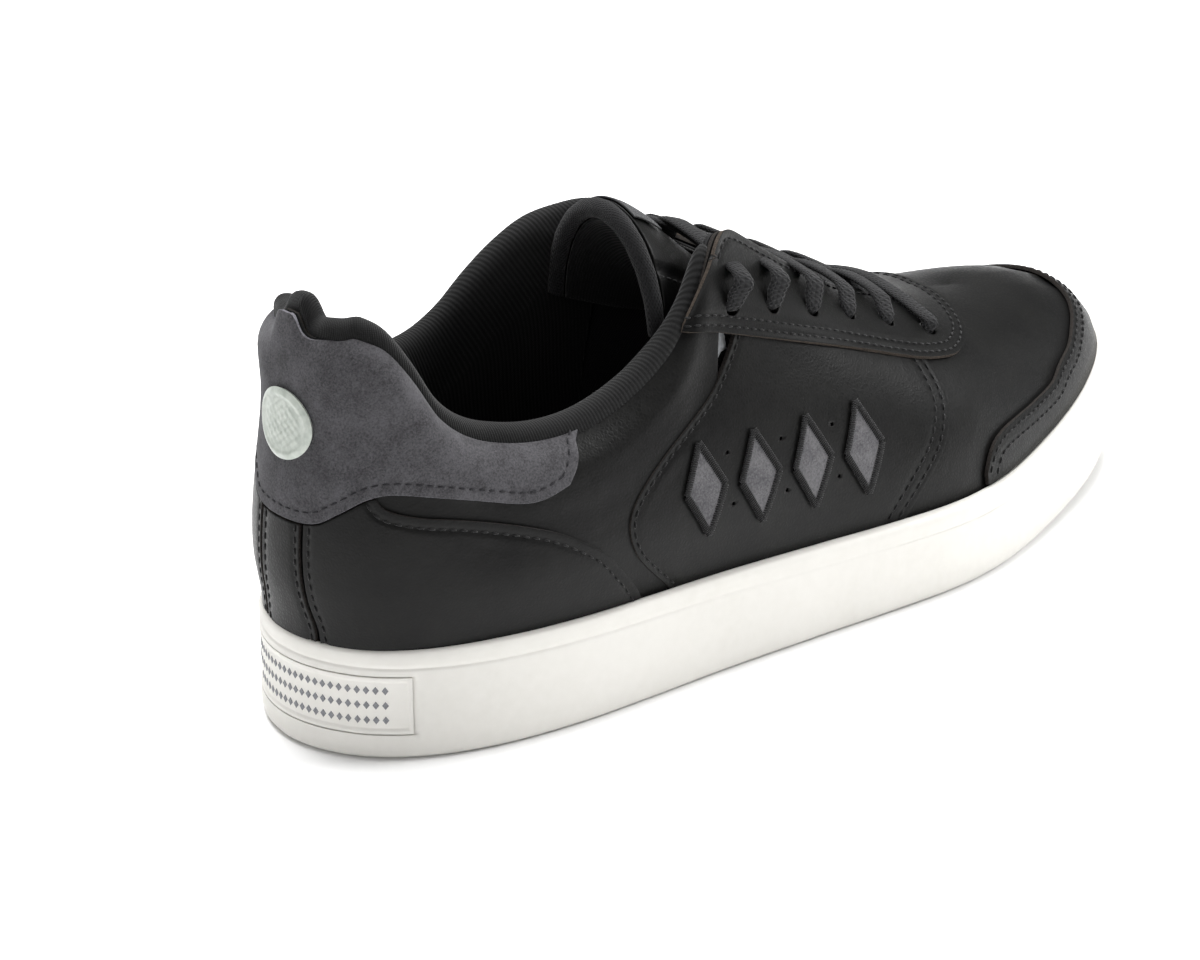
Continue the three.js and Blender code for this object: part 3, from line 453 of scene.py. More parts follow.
class Topline:
    """The collar's edge as a table, so that any point can ask how far it lies below it."""

    def __init__(self, count: int = 601) -> None:
        """Solves the edge at `count` girths."""
        reach = girth_at(150, Side.MEDIAL)
        self.girth = np.linspace(-reach, reach, count)
        self.rise = PATTERN.topline(self.girth)
        self.points = LAST.point(self.girth, self.rise)
        window = np.hanning(23)
        level = np.pad(self.points[:, 2], 11, mode="edge")
        self.eased = np.convolve(level, window / window.sum(), mode="valid")

    def height(self, girth: Array) -> Array:
        """Height of the edge above each girth."""
        near = np.mod(np.asarray(girth) + 1, 2.0) - 1
        return np.interp(near, self.girth, self.points[:, 2])

    def eased_height(self, girth: Array) -> Array:
        """Height of the edge with its small bends evened out, as padding rolls over it."""
        return np.interp(girth, self.girth, self.eased)

    def line(self, start: float, end: float, count: int = 160) -> Array:
        """The edge as a chart line between two girths."""
        girth = np.linspace(start, end, count)
        return np.stack([girth, np.interp(girth, self.girth, self.rise)], -1)


TOPLINE = Topline()
CORNER_GIRTH = {side: girth_at(PATTERN.corner + 2, side) for side in Side}


def collar_swell(girth: Array, points: Array) -> Array:
    """How far the padded collar pushes the leather out, by distance below the topline."""
    below = points[:, 2] - TOPLINE.height(girth)
    profile = through((-27, 0), (-20, 0.35), (-14, 1.1), (-9, 1.5), (-5, 0.7), (-2, -0.9),
                      (0, -2.6))
    fade = 1 - ease(104, 123, points[:, 0])
    finger = ease(4, 12, np.abs(points[:, 1] - HEEL_CENTRE) + np.maximum(points[:, 0] - 10, 0))
    return profile(below) * fade * mix(0.35, 1.0, finger)


def creases(points: Array, rise: Array) -> Array:
    """Shallow unevenness that pulled leather has, none at the rim."""
    x, y, z = points.T
    slow = np.sin(x / 12 + 1.4 * np.sin(z / 15)) * np.sin(z / 9.5 + 0.8 * np.sin(y / 14))
    flex = np.sin(x / 4.6 + 0.9 * np.sin(y / 11)) * ease(196, 214, x) * (1 - ease(228, 246, x))
    return (0.14 * slow + 0.1 * flex) * ease(0.05, 0.25, rise)


def skin(girth: Array, rise: Array, offset) -> Array:
    """Points at an offset from the last, with the collar's swell and the leather's creases."""
    points = LAST.point(girth, rise)
    relief = collar_swell(girth, points) + creases(points, rise)
    return points + LAST.normal(girth, rise) * (offset + relief)[:, None]


# ---- Bench: meshes, modifiers and placing --------------------------------------------------------


@dataclass
class Bench:
    """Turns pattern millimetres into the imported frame, and finished meshes into its pieces."""

    origin: Vector

    @classmethod
    def from_record(cls, record: dict) -> "Bench":
        """Finds the frame's origin from the sole's rest mount."""
        mount = next(m for m in record["mounts"] if m["name"] == "sole_rest")
        at = Vector(mount["pos_m"])
        return cls(at - Vector((*HEEL_PAD_AT, 0.0)) * MM)

    def place(self, points: Array) -> Array:
        """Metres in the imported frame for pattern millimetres."""
        return np.asarray(points, float) * MM + np.array(self.origin)

    def grid(self, columns: int, rows: int, shape: Callable[[Array, Array], Array],
             size: tuple[float, float], outward: Optional[Callable] = None,
             seams: float = 0.0) -> bmesh.types.BMesh:
        """Bends a flat grid into a shape.

        Args:
            columns: Steps across.
            rows: Steps up.
            shape: Gives the point, in pattern millimetres, for shares across and up.
            size: Width and height in millimetres, which set the scale of the UV map.
            outward: Gives the outward direction for shares across and up, to turn the faces.
            seams: Merge distance in millimetres for borders that meet, or 0.

        Returns:
            The bmesh, in metres.
        """
        mesh = bmesh.new()
        uv = mesh.loops.layers.uv.new("UVMap")
        bmesh.ops.create_grid(mesh, x_segments=columns, y_segments=rows, size=0.5, calc_uvs=True)
        flat = np.array([v.co[:2] for v in mesh.verts]) + 0.5
        for corner in (loop for face in mesh.faces for loop in face.loops):
            share = corner[uv].uv
            corner[uv].uv = (share[0] * size[0] / UV_UNIT, share[1] * size[1] / UV_UNIT)
        placed = self.place(shape(flat[:, 0], flat[:, 1]))
        for vertex, at in zip(mesh.verts, placed):
            vertex.co = at
        if outward is not None:
            mesh.normal_update()
            facing = np.array([v.normal[:] for v in mesh.verts])
            if (facing * outward(flat[:, 0], flat[:, 1])).sum() < 0:
                bmesh.ops.reverse_faces(mesh, faces=mesh.faces[:])
        if seams:
            bmesh.ops.remove_doubles(mesh, verts=mesh.verts[:], dist=seams * MM)
        return mesh

    @staticmethod
    def piece(name: str, mesh: bmesh.types.BMesh, materials: Sequence) -> bpy.types.Object:
        """Makes a scene object of a bmesh, shaded smooth."""
        for face in mesh.faces:
            face.smooth = True
        data = bpy.data.meshes.new(name)
        mesh.to_mesh(data)
        mesh.free()
        for material in materials:
            data.materials.append(material)
        made = bpy.data.objects.new(name, data)
        bpy.context.scene.collection.objects.link(made)
        return made

    @staticmethod
    def thicken(piece: bpy.types.Object, thickness: float, offset: float = -1.0,
                rim: int = 0) -> None:
        """Gives a sheet its thickness in millimetres; offset -1 keeps its face outside."""
        solid = piece.modifiers.new("thickness", "SOLIDIFY")
        solid.thickness = thickness * MM
        solid.offset = offset
        solid.material_offset_rim = rim
        solid.use_even_offset = False

    @staticmethod
    def round_edges(piece: bpy.types.Object, width: float, segments: int = 2) -> None:
        """Rounds a piece's sharp edges by a width in millimetres."""
        bevel = piece.modifiers.new("edges", "BEVEL")
        bevel.width = width * MM
        bevel.segments = segments
        bevel.profile = 0.5
        bevel.material = -1
        bevel.limit_method = "ANGLE"
        bevel.angle_limit = math.radians(50)

    @staticmethod
    def freeze(piece: bpy.types.Object) -> None:
        """Applies a piece's modifiers to its mesh."""
        graph = bpy.context.evaluated_depsgraph_get()
        final = bpy.data.meshes.new_from_object(piece.evaluated_get(graph))
        final.name = piece.name
        piece.modifiers.clear()
        old = piece.data
        piece.data = final
        bpy.data.meshes.remove(old)

    @classmethod
    def punch(cls, piece: bpy.types.Object, cutter: bpy.types.Object) -> None:
        """Cuts holes through a piece and applies its modifiers."""
        cut = piece.modifiers.new("holes", "BOOLEAN")
        cut.operation = "DIFFERENCE"
        cut.solver = "EXACT"
        cut.object = cutter
        cls.freeze(piece)

    @staticmethod
    def dress(piece: bpy.types.Object, body: str, slot: str, *nodes: str) -> bpy.types.Object:
        """Hangs a piece on its body and hides the CAD nodes it stands for."""
        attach(piece, body)
        if nodes:
            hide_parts(*nodes)
        LOG.info("%s: %d faces", piece.name, len(piece.data.polygons))
        return piece


BENCH = Bench.from_record(frame["record"])


# ---- Finishes ------------------------------------------------------------------------------------


def linear(code: str) -> tuple[float, float, float, float]:
    """Turns an sRGB hex value into linear colour."""
    parts = (int(code[i:i + 2], 16) / 255 for i in (1, 3, 5))
    return (*(c / 12.92 if c <= 0.04045 else ((c + 0.055) / 1.055) ** 2.4 for c in parts), 1.0)


def add_node(tree: bpy.types.NodeTree, kind: str, settings: Optional[dict] = None,
             inputs: Optional[dict] = None) -> bpy.types.Node:
    """Adds a shader node with its settings, values and links.

    Args:
        tree: The material's node tree.
        kind: The node's type.
        settings: Properties to set.
        inputs: Socket name or index to a value or to another node's output socket.

    Returns:
        The node.
    """
    made = tree.nodes.new(kind)
    for key, value in (settings or {}).items():
        setattr(made, key, value)
    for key, value in (inputs or {}).items():
        if isinstance(value, bpy.types.NodeSocket):
            tree.links.new(value, made.inputs[key])
        else:
            made.inputs[key].default_value = value
    return made


class Finish:
    """A material with its shader and surface coordinates in place, ready for its patterns."""

    def __init__(self, name: str, roughness: float, ior: float = 1.5, sheen: float = 0.0,
                 sheen_roughness: float = 0.5, specular: float = 0.5) -> None:
        """Starts a material of that name.

        Args:
            name: What the material really is.
            roughness: The shader's roughness.
            ior: Index of refraction.
            sheen: Weight of the fuzz that fibres give.
            sheen_roughness: Roughness of that fuzz.
            specular: Level of the plain reflection.
        """
        self.material = bpy.data.materials.new(name)
        self.material.use_nodes = True
        self.tree = self.material.node_tree
        self.shader = self.tree.nodes["Principled BSDF"]
        self.shader.inputs["Roughness"].default_value = roughness
        self.shader.inputs["IOR"].default_value = ior
        self.shader.inputs["Sheen Weight"].default_value = sheen
        self.shader.inputs["Sheen Roughness"].default_value = sheen_roughness
        self.shader.inputs["Specular IOR Level"].default_value = specular
        coordinates = add_node(self.tree, "ShaderNodeTexCoord")
        self.place = coordinates.outputs["Object"]
        self.flat = coordinates.outputs["UV"]

    def noise(self, size_mm: float, detail: float = 3.0,
              distortion: float = 0.0) -> bpy.types.NodeSocket:
        """A noise whose features are about size_mm across, 0 to 1."""
        made = add_node(self.tree, "ShaderNodeTexNoise", {"noise_dimensions": "3D"},
                        {"Vector": self.place, "Scale": 1 / (size_mm * MM), "Detail": detail,
                         "Distortion": distortion})
        return made.outputs["Fac"]

    def math(self, operation: str, first, second=0.5) -> bpy.types.NodeSocket:
        """One arithmetic step on sockets or numbers."""
        made = add_node(self.tree, "ShaderNodeMath", {"operation": operation},
                        {0: first, 1: second})
        return made.outputs[0]

    def remap(self, value, low: float, high: float, to_low: float,
              to_high: float) -> bpy.types.NodeSocket:
        """Maps a value's range to another, clamped."""
        made = add_node(self.tree, "ShaderNodeMapRange", None,
                        {"Value": value, "From Min": low, "From Max": high, "To Min": to_low,
                         "To Max": to_high})
        return made.outputs["Result"]

    def shade(self, pattern: bpy.types.NodeSocket, dark: str, light: str, low: float = 0.35,
              high: float = 0.65) -> None:
        """Colours the surface from dark to light as a pattern rises from low to high."""
        share = self.remap(pattern, low, high, 0, 1)
        made = add_node(self.tree, "ShaderNodeMix", {"data_type": "RGBA"},
                        {0: share, 6: linear(dark), 7: linear(light)})
        self.tree.links.new(made.outputs[2], self.shader.inputs["Base Color"])

    def rough(self, value: bpy.types.NodeSocket) -> None:
        """Links the roughness."""
        self.tree.links.new(value, self.shader.inputs["Roughness"])

    def relief(self, height: bpy.types.NodeSocket, depth_mm: float, strength: float = 1.0,
               under: Optional[bpy.types.NodeSocket] = None) -> bpy.types.NodeSocket:
        """Raises the surface by a height pattern.

        Args:
            height: The pattern, 0 to 1.
            depth_mm: Its real depth.
            strength: How much of the tilt shows.
            under: The normal of a coarser relief to build on.

        Returns:
            The normal, which is also linked to the shader.
        """
        inputs = {"Height": height, "Distance": depth_mm * MM, "Strength": strength}
        if under is not None:
            inputs["Normal"] = under
        made = add_node(self.tree, "ShaderNodeBump", None, inputs)
        self.tree.links.new(made.outputs["Normal"], self.shader.inputs["Normal"])
        return made.outputs["Normal"]

    def stripes(self, pitch_mm: float, turn: float) -> bpy.types.NodeSocket:
        """Ridges across the UV map, pitch_mm apart and turned by an angle in degrees."""
        turned = add_node(self.tree, "ShaderNodeMapping", None,
                          {"Vector": self.flat, "Rotation": (0, 0, math.radians(turn))})
        split = add_node(self.tree, "ShaderNodeSeparateXYZ", None, {0: turned.outputs[0]})
        phase = self.math("MULTIPLY", split.outputs["X"], 2 * math.pi * UV_UNIT / pitch_mm)
        return self.remap(self.math("SINE", phase), -1, 1, 0, 1)


@dataclass(frozen=True)
class SmoothLeather:
    """Full-grain calf, drum dyed and lightly finished: a soft satin shine over a fine pebble."""

    dark: str = "#060606"
    light: str = "#0c0c0b"
    pebble_mm: float = 1.1
    pore_mm: float = 0.35
    gloss: float = 0.33
    matt: float = 0.46
    shine: float = 0.2

    def make(self, name: str) -> bpy.types.Material:
        """Builds the material."""
        finish = Finish(name, self.gloss, ior=1.48, specular=self.shine)
        cells = add_node(finish.tree, "ShaderNodeTexVoronoi", {"feature": "DISTANCE_TO_EDGE"},
                         {"Vector": finish.place, "Scale": 1 / (self.pebble_mm * MM),
                          "Randomness": 1.0})
        pebble = finish.remap(cells.outputs["Distance"], 0.0, 0.32, 0, 1)
        patches = finish.noise(16, 4)
        pores = finish.noise(self.pore_mm, 3)
        finish.shade(patches, self.dark, self.light)
        worn = finish.math("MULTIPLY", pebble, finish.remap(finish.noise(9, 3), 0.3, 0.7, 0.5, 1))
        finish.rough(finish.remap(worn, 0, 1, self.matt, self.gloss))
        broad = finish.relief(finish.noise(4.5, 3), 0.35, 0.35)
        grain = finish.relief(pebble, 0.05, 0.5, broad)
        finish.relief(pores, 0.03, 0.35, grain)
        return finish.material


@dataclass(frozen=True)
class Suede:
    """Split calf with its nap raised by sanding: short fibres that scatter light at the edges."""

    dark: str = "#343335"
    light: str = "#525154"
    fibre_mm: float = 0.55          # real nap is finer; drawn as coarse as the render needs
    mottle_mm: float = 7.0

    def make(self, name: str) -> bpy.types.Material:
        """Builds the material."""
        finish = Finish(name, 0.95, sheen=0.22, sheen_roughness=0.6, specular=0.12)
        finish.shader.inputs["Sheen Tint"].default_value = linear("#a8a8aa")
        nap = finish.noise(self.fibre_mm, 5, 0.6)
        mottle = finish.noise(self.mottle_mm, 4, 0.4)
        both = finish.math("ADD", finish.math("MULTIPLY", nap, 0.62),
                           finish.math("MULTIPLY", mottle, 0.38))
        finish.shade(both, self.dark, self.light, 0.38, 0.62)
        broad = finish.relief(mottle, 0.3, 0.3)
        finish.relief(nap, 0.16, 0.55, broad)
        return finish.material


@dataclass(frozen=True)
class CutEdge:
    """The raw edge of a hide where the knife went through it: matt, fibrous and a shade lighter."""

    dark: str
    light: str

    def make(self, name: str) -> bpy.types.Material:
        """Builds the material."""
        finish = Finish(name, 0.9, specular=0.2)
        fibre = finish.noise(0.5, 4)
        finish.shade(fibre, self.dark, self.light)
        finish.relief(fibre, 0.12, 0.5)
        return finish.material


@dataclass(frozen=True)
class MouldedRubber:
    """Compression-moulded rubber off a matt mould: chalky white with a faint bloom and dust."""

    clean: str = "#dddbd6"
    dusty: str = "#d6d4ce"
    texture_mm: float = 0.5

    def make(self, name: str) -> bpy.types.Material:
        """Builds the material."""
        finish = Finish(name, 0.56, ior=1.52, specular=0.4)
        dust = finish.math("MULTIPLY", finish.noise(24, 5, 0.5), finish.noise(3, 4))
        finish.shade(dust, self.clean, self.dusty, 0.1, 0.6)
        finish.rough(finish.remap(finish.noise(11, 4), 0.3, 0.7, 0.5, 0.64))
        broad = finish.relief(finish.noise(9, 2), 0.08, 0.4)
        finish.relief(finish.noise(self.texture_mm, 3), 0.02, 0.35, broad)
        return finish.material


@dataclass(frozen=True)
class Cloth:
    """Woven or knitted polyester: twisted yarns in diagonal or crossing ridges, with painted shade
    in the grooves between them.
    """

    dark: str
    light: str
    pitch_mm: float = 1.1
    turn: float = 55.0
    crossed: bool = False
    depth_mm: float = 0.16
    sheen: float = 0.25

    def make(self, name: str) -> bpy.types.Material:
        """Builds the material."""
        finish = Finish(name, 0.86, sheen=self.sheen, sheen_roughness=0.45, specular=0.25)
        ridges = finish.stripes(self.pitch_mm, self.turn)
        across = finish.stripes(self.pitch_mm * (1.0 if self.crossed else 0.62),
                                -self.turn if self.crossed else self.turn - 90)
        weave = finish.math("MAXIMUM" if self.crossed else "MULTIPLY", ridges,
                            across if self.crossed else finish.remap(across, 0, 1, 0.55, 1))
        fuzz = finish.noise(0.4, 3)
        # Painted shade: the colour darkens where the weave's relief is low, in the grooves between
        # yarns; the fuzz adds random yarn tone.
        shade = finish.math("MULTIPLY", weave, finish.remap(fuzz, 0.3, 0.7, 0.55, 1.1))
        finish.shade(shade, self.dark, self.light, 0, 1)
        yarn = finish.relief(weave, self.depth_mm, 0.8)
        finish.relief(fuzz, 0.08, 0.4, yarn)
        return finish.material


@dataclass(frozen=True)
class Plain:
    """Foams, boards and plates that the finished shoe hides: even, matt and slightly cellular."""

    dark: str
    light: str
    cell_mm: float = 0.8
    roughness: float = 0.85

    def make(self, name: str) -> bpy.types.Material:
        """Builds the material."""
        finish = Finish(name, self.roughness, specular=0.3)
        cells = finish.noise(self.cell_mm, 4)
        finish.shade(cells, self.dark, self.light)
        finish.relief(cells, 0.08, 0.4)
        return finish.material


@dataclass(frozen=True)
class MouldedPlastic:
    """Injection-moulded soft plastic with a pearl pigment: pale green-silver and satin."""

    dark: str = "#a3aaa2"
    light: str = "#bcc2ba"

    def make(self, name: str) -> bpy.types.Material:
        """Builds the material."""
        finish = Finish(name, 0.36, ior=1.49)
        swirl = finish.noise(3, 4, 1.0)
        finish.shade(swirl, self.dark, self.light)
        finish.relief(finish.noise(0.6, 3), 0.03, 0.4)
        return finish.material


class Finishes:
    """Every material of the shoe, made once."""

    def __init__(self) -> None:
        """Makes the materials."""
        self.leather = SmoothLeather().make("full_grain_calf")
        self.tongue_leather = SmoothLeather(gloss=0.33, pebble_mm=0.9).make("tongue_calf")
        self.leather_edge = CutEdge("#161413", "#2c2825").make("calf_cut_edge")
        self.stay_edge = CutEdge("#2a2521", "#453d36").make("eyestay_cut_edge")
        self.suede = Suede().make("sanded_suede")
        self.trim_suede = Suede(dark="#48474a", light="#686769").make("trim_suede")
        self.suede_edge = CutEdge("#46454a", "#77767c").make("suede_frayed_edge")
        self.rubber = MouldedRubber().make("matt_white_rubber")
        self.plaque = MouldedRubber("#dfddd8", "#d8d6d0", 0.4).make("plaque_rubber")
        self.print = Plain("#6f7074", "#85868a", 0.4, 0.6).make("grey_pad_print")
        self.twill = Cloth("#050505", "#171718", 0.95, 14, sheen=0.1).make("collar_twill")
        self.knit = Cloth("#060606", "#1c1c1e", 0.9, 40, True, 0.2, 0.1).make("binding_knit")
        self.lace = Cloth("#050505", "#1b1b1d", 1.1, 38, True, 0.35, 0.08).make("braided_lace")
        self.label = Cloth("#2a2a2c", "#67686a", 0.7, 0, True, 0.08, 0.1).make("woven_label")
        self.cover = Cloth("#0c0c0d", "#1c1c1e", 1.0, 45, True, 0.12, 0.1).make("sockliner_jersey")
        self.thread = Cloth("#0a0a0a", "#2a2a2b", 0.5, 30, False, 0.1, 0.15).make("bonded_thread")
        self.pale_thread = Cloth("#1b1b1d", "#3a393d", 0.5, 30, False, 0.1, 0.1).make("grey_thread")
        self.foam = Plain("#85878a", "#9b9da0", 1.0).make("polyurethane_foam")
        self.eva = Plain("#c9c7c0", "#dedcd5", 0.9).make("eva_midsole")
        self.board = Plain("#a79678", "#c6b596", 1.2).make("fibre_board")
        self.stiffener = Plain("#0c0c0d", "#19191a", 0.8, 0.9).make("black_felt_stiffener")
        self.plate = Plain("#33373c", "#454a50", 0.6, 0.45).make("nylon_shank")
        self.badge = MouldedPlastic().make("pearl_badge")


# ---- Panels and stitching ------------------------------------------------------------------------


def coons(south: Array, north: Array, west: Array, east: Array, u: Array, w: Array) -> Array:
    """Fills four borders of a chart with an even patch.

    Args:
        south: Lower border, west to east.
        north: Upper border, west to east.
        west: Border from south to north.
        east: The other border from south to north.
        u: Shares across.
        w: Shares up.

    Returns:
        Chart points, one a row.
    """
    def along(line: Array, share: Array) -> Array:
        """Points of a border at shares of its length."""
        marks = np.linspace(0, 1, len(line))
        return np.stack([np.interp(share, marks, line[:, k]) for k in (0, 1)], -1)

    a, b = u[:, None], w[:, None]
    edges = (1 - b) * along(south, u) + b * along(north, u)
    edges += (1 - a) * along(west, w) + a * along(east, w)
    corners = (1 - a) * (1 - b) * south[0] + a * (1 - b) * south[-1]
    return edges - corners - (1 - a) * b * north[0] - a * b * north[-1]


@dataclass
class Panel:
    """One cut piece of the upper, laid on the last between four borders of its chart."""

    name: str
    south: Array
    north: Array
    west: Array
    east: Array
    face: float = 0.0
    thickness: float = LEATHER
    cell: float = 1.3               # size of its mesh
    chart: Chart = Chart.GIRTH
    seams: float = 0.0
    rounding: float = 0.32
    grooves: list = field(default_factory=list)
    groove_depth: float = 0.3
    groove_width: float = 0.9
    measured: bool = False          # whether its borders are already evenly spaced
    surface: Optional[BVHTree] = None

    def points(self, line: Array, offset: Optional[float] = None) -> Array:
        """Pattern points of a chart line on the panel's face."""
        girth, rise = self.chart.unroll(line)
        return skin(girth, rise, np.full(len(girth), self.face if offset is None else offset))

    def border(self, line: Array, count: int = 220) -> Array:
        """A border with its points spaced evenly over the surface."""
        return even(line, count, self.points(line))

    def inside(self, line: Array, distance: float, turn: int) -> Array:
        """A row that runs beside a border.

        Args:
            line: The border, as chart points.
            distance: How far beside it, in millimetres.
            turn: 1 or -1, for which side of the line's direction.

        Returns:
            The row's pattern points.
        """
        girth, rise = self.chart.unroll(line)
        points = self.points(line)
        along = np.gradient(points, axis=0)
        along /= np.maximum(np.linalg.norm(along, axis=1, keepdims=True), 1e-9)
        return points + np.cross(along, LAST.normal(girth, rise)) * turn * distance

    def build(self, finish: bpy.types.Material,
              rim: Optional[bpy.types.Material] = None) -> bpy.types.Object:
        """Makes the panel.

        Args:
            finish: Material of its faces.
            rim: Material of its cut edge.

        Returns:
            The panel's object.
        """
        if self.measured:
            borders = (self.south, self.north, self.west, self.east)
        else:
            borders = [self.border(line) for line in (self.south, self.north, self.west, self.east)]
        width, height = (max(lengths(self.points(line))[-1] for line in pair)
                         for pair in (borders[:2], borders[2:]))
        tree = None
        rows = [row for row in self.grooves if len(row)]
        if rows:
            marks = np.concatenate([even(row, max(2, int(lengths(row)[-1] / 0.5))) for row in rows])
            tree = KDTree(len(marks))
            for index, mark in enumerate(marks):
                tree.insert(mark, index)
            tree.balance()

        def shape(u: Array, w: Array) -> Array:
            """The face, pulled in along its stitch rows."""
            girth, rise = self.chart.unroll(coons(*borders, u, w))
            offset = np.full(len(u), self.face)
            if tree is not None:
                flat = skin(girth, rise, offset)
                gap = np.array([tree.find(point)[2] for point in flat])
                offset = offset - self.groove_depth * np.exp(-(gap / self.groove_width) ** 2)
            return skin(girth, rise, offset)

        def outward(u: Array, w: Array) -> Array:
            """The last's outward direction under the face."""
            return LAST.normal(*self.chart.unroll(coons(*borders, u, w)))

        columns, steps = (max(3, round(size / self.cell)) for size in (width, height))
        mesh = BENCH.grid(columns, steps, shape, (width, height), outward, self.seams)
        self.surface = BVHTree.FromBMesh(mesh)
        materials = [finish] if rim is None else [finish, rim]
        made = BENCH.piece(self.name, mesh, materials)
        BENCH.thicken(made, self.thickness, rim=0 if rim is None else 1)
        if self.rounding:
            BENCH.round_edges(made, self.rounding)
        return made


@dataclass
class Stitching:
    """Rows of thread, each stitch a small bead sunk half into the leather."""

    name: str
    pitch: float = 3.0
    stitch: float = 2.3
    thread: float = 0.62
    lift: float = 0.08
    beads: list = field(default_factory=list)

    def row(self, line: Array, surface: BVHTree, pitch: Optional[float] = None,
            across: float = 0.0) -> None:
        """Adds a row of stitches along a line.

        Args:
            line: Pattern points near the surface.
            surface: The panel's face.
            pitch: Distance from stitch to stitch, if not the usual one.
            across: Length of stitches that lie across the line, as in satin stitch.
        """
        step = pitch or self.pitch
        count = max(2, int(lengths(line)[-1] / step))
        middles = BENCH.place(even(line, 2 * count + 1))
        for i in range(1, len(middles) - 1, 2):
            at, normal, _, _ = surface.find_nearest(Vector(middles[i]))
            if at is None:
                continue
            ahead = (Vector(middles[i + 1]) - Vector(middles[i - 1])).normalized()
            side = normal.cross(ahead).normalized()
            long_way = side if across else normal.cross(side)
            other = normal.cross(long_way)
            size = (across or self.stitch) / 2
            basis = Matrix((long_way, other, normal)).transposed().to_4x4()
            scale = Matrix.Diagonal((size * MM, self.thread / 2 * MM, self.thread / 2 * MM, 1))
            self.beads.append(Matrix.Translation(at + normal * self.lift * MM) @ basis @ scale)

    def build(self, finish: bpy.types.Material) -> bpy.types.Object:
        """Makes one object of all the stitches."""
        mesh = bmesh.new()
        for bead in self.beads:
            bmesh.ops.create_uvsphere(mesh, u_segments=6, v_segments=4, radius=1, matrix=bead,
                                      calc_uvs=False)
        bmesh.ops.recalc_face_normals(mesh, faces=mesh.faces[:])
        return BENCH.piece(self.name, mesh, [finish])


def straight(start: Sequence[float], end: Sequence[float], count: int = 60) -> Array:
    """A straight chart line between two chart points."""
    return np.linspace(np.array(start, float), np.array(end, float), count)


def past_toe(line: Array) -> Array:
    """The same chart line with lateral girths counted on past the toe."""
    return np.stack([np.mod(line[:, 0], 2.0), line[:, 1]], -1)


def over_ridge(line: Array, side: Side) -> Array:
    """A girth chart line as points of the ridge chart."""
    lap = np.mod(line[:, 0], 2.0)
    run = np.where(lap <= 1, lap, 2 - lap)
    return np.stack([run, side.value * (1 - line[:, 1])], -1)


def meet(first: Array, second: Array) -> Array:
    """Joins two chart lines where they come nearest, and drops what lies past that."""
    a, b = (LAST.point(line[:, 0], line[:, 1]) for line in (first, second))
    gap = np.linalg.norm(a[:, None] - b[None], axis=-1)
    i, j = np.unravel_index(gap.argmin(), gap.shape)
    return np.vstack([first[:i], second[j:]])


def softened(line: Array, passes: int = 6) -> Array:
    """Rounds the corners of a chart line, with its ends kept."""
    made = line.copy()
    for _ in range(passes):
        made[1:-1] = (made[:-2] + 2 * made[1:-1] + made[2:]) / 4
    return made


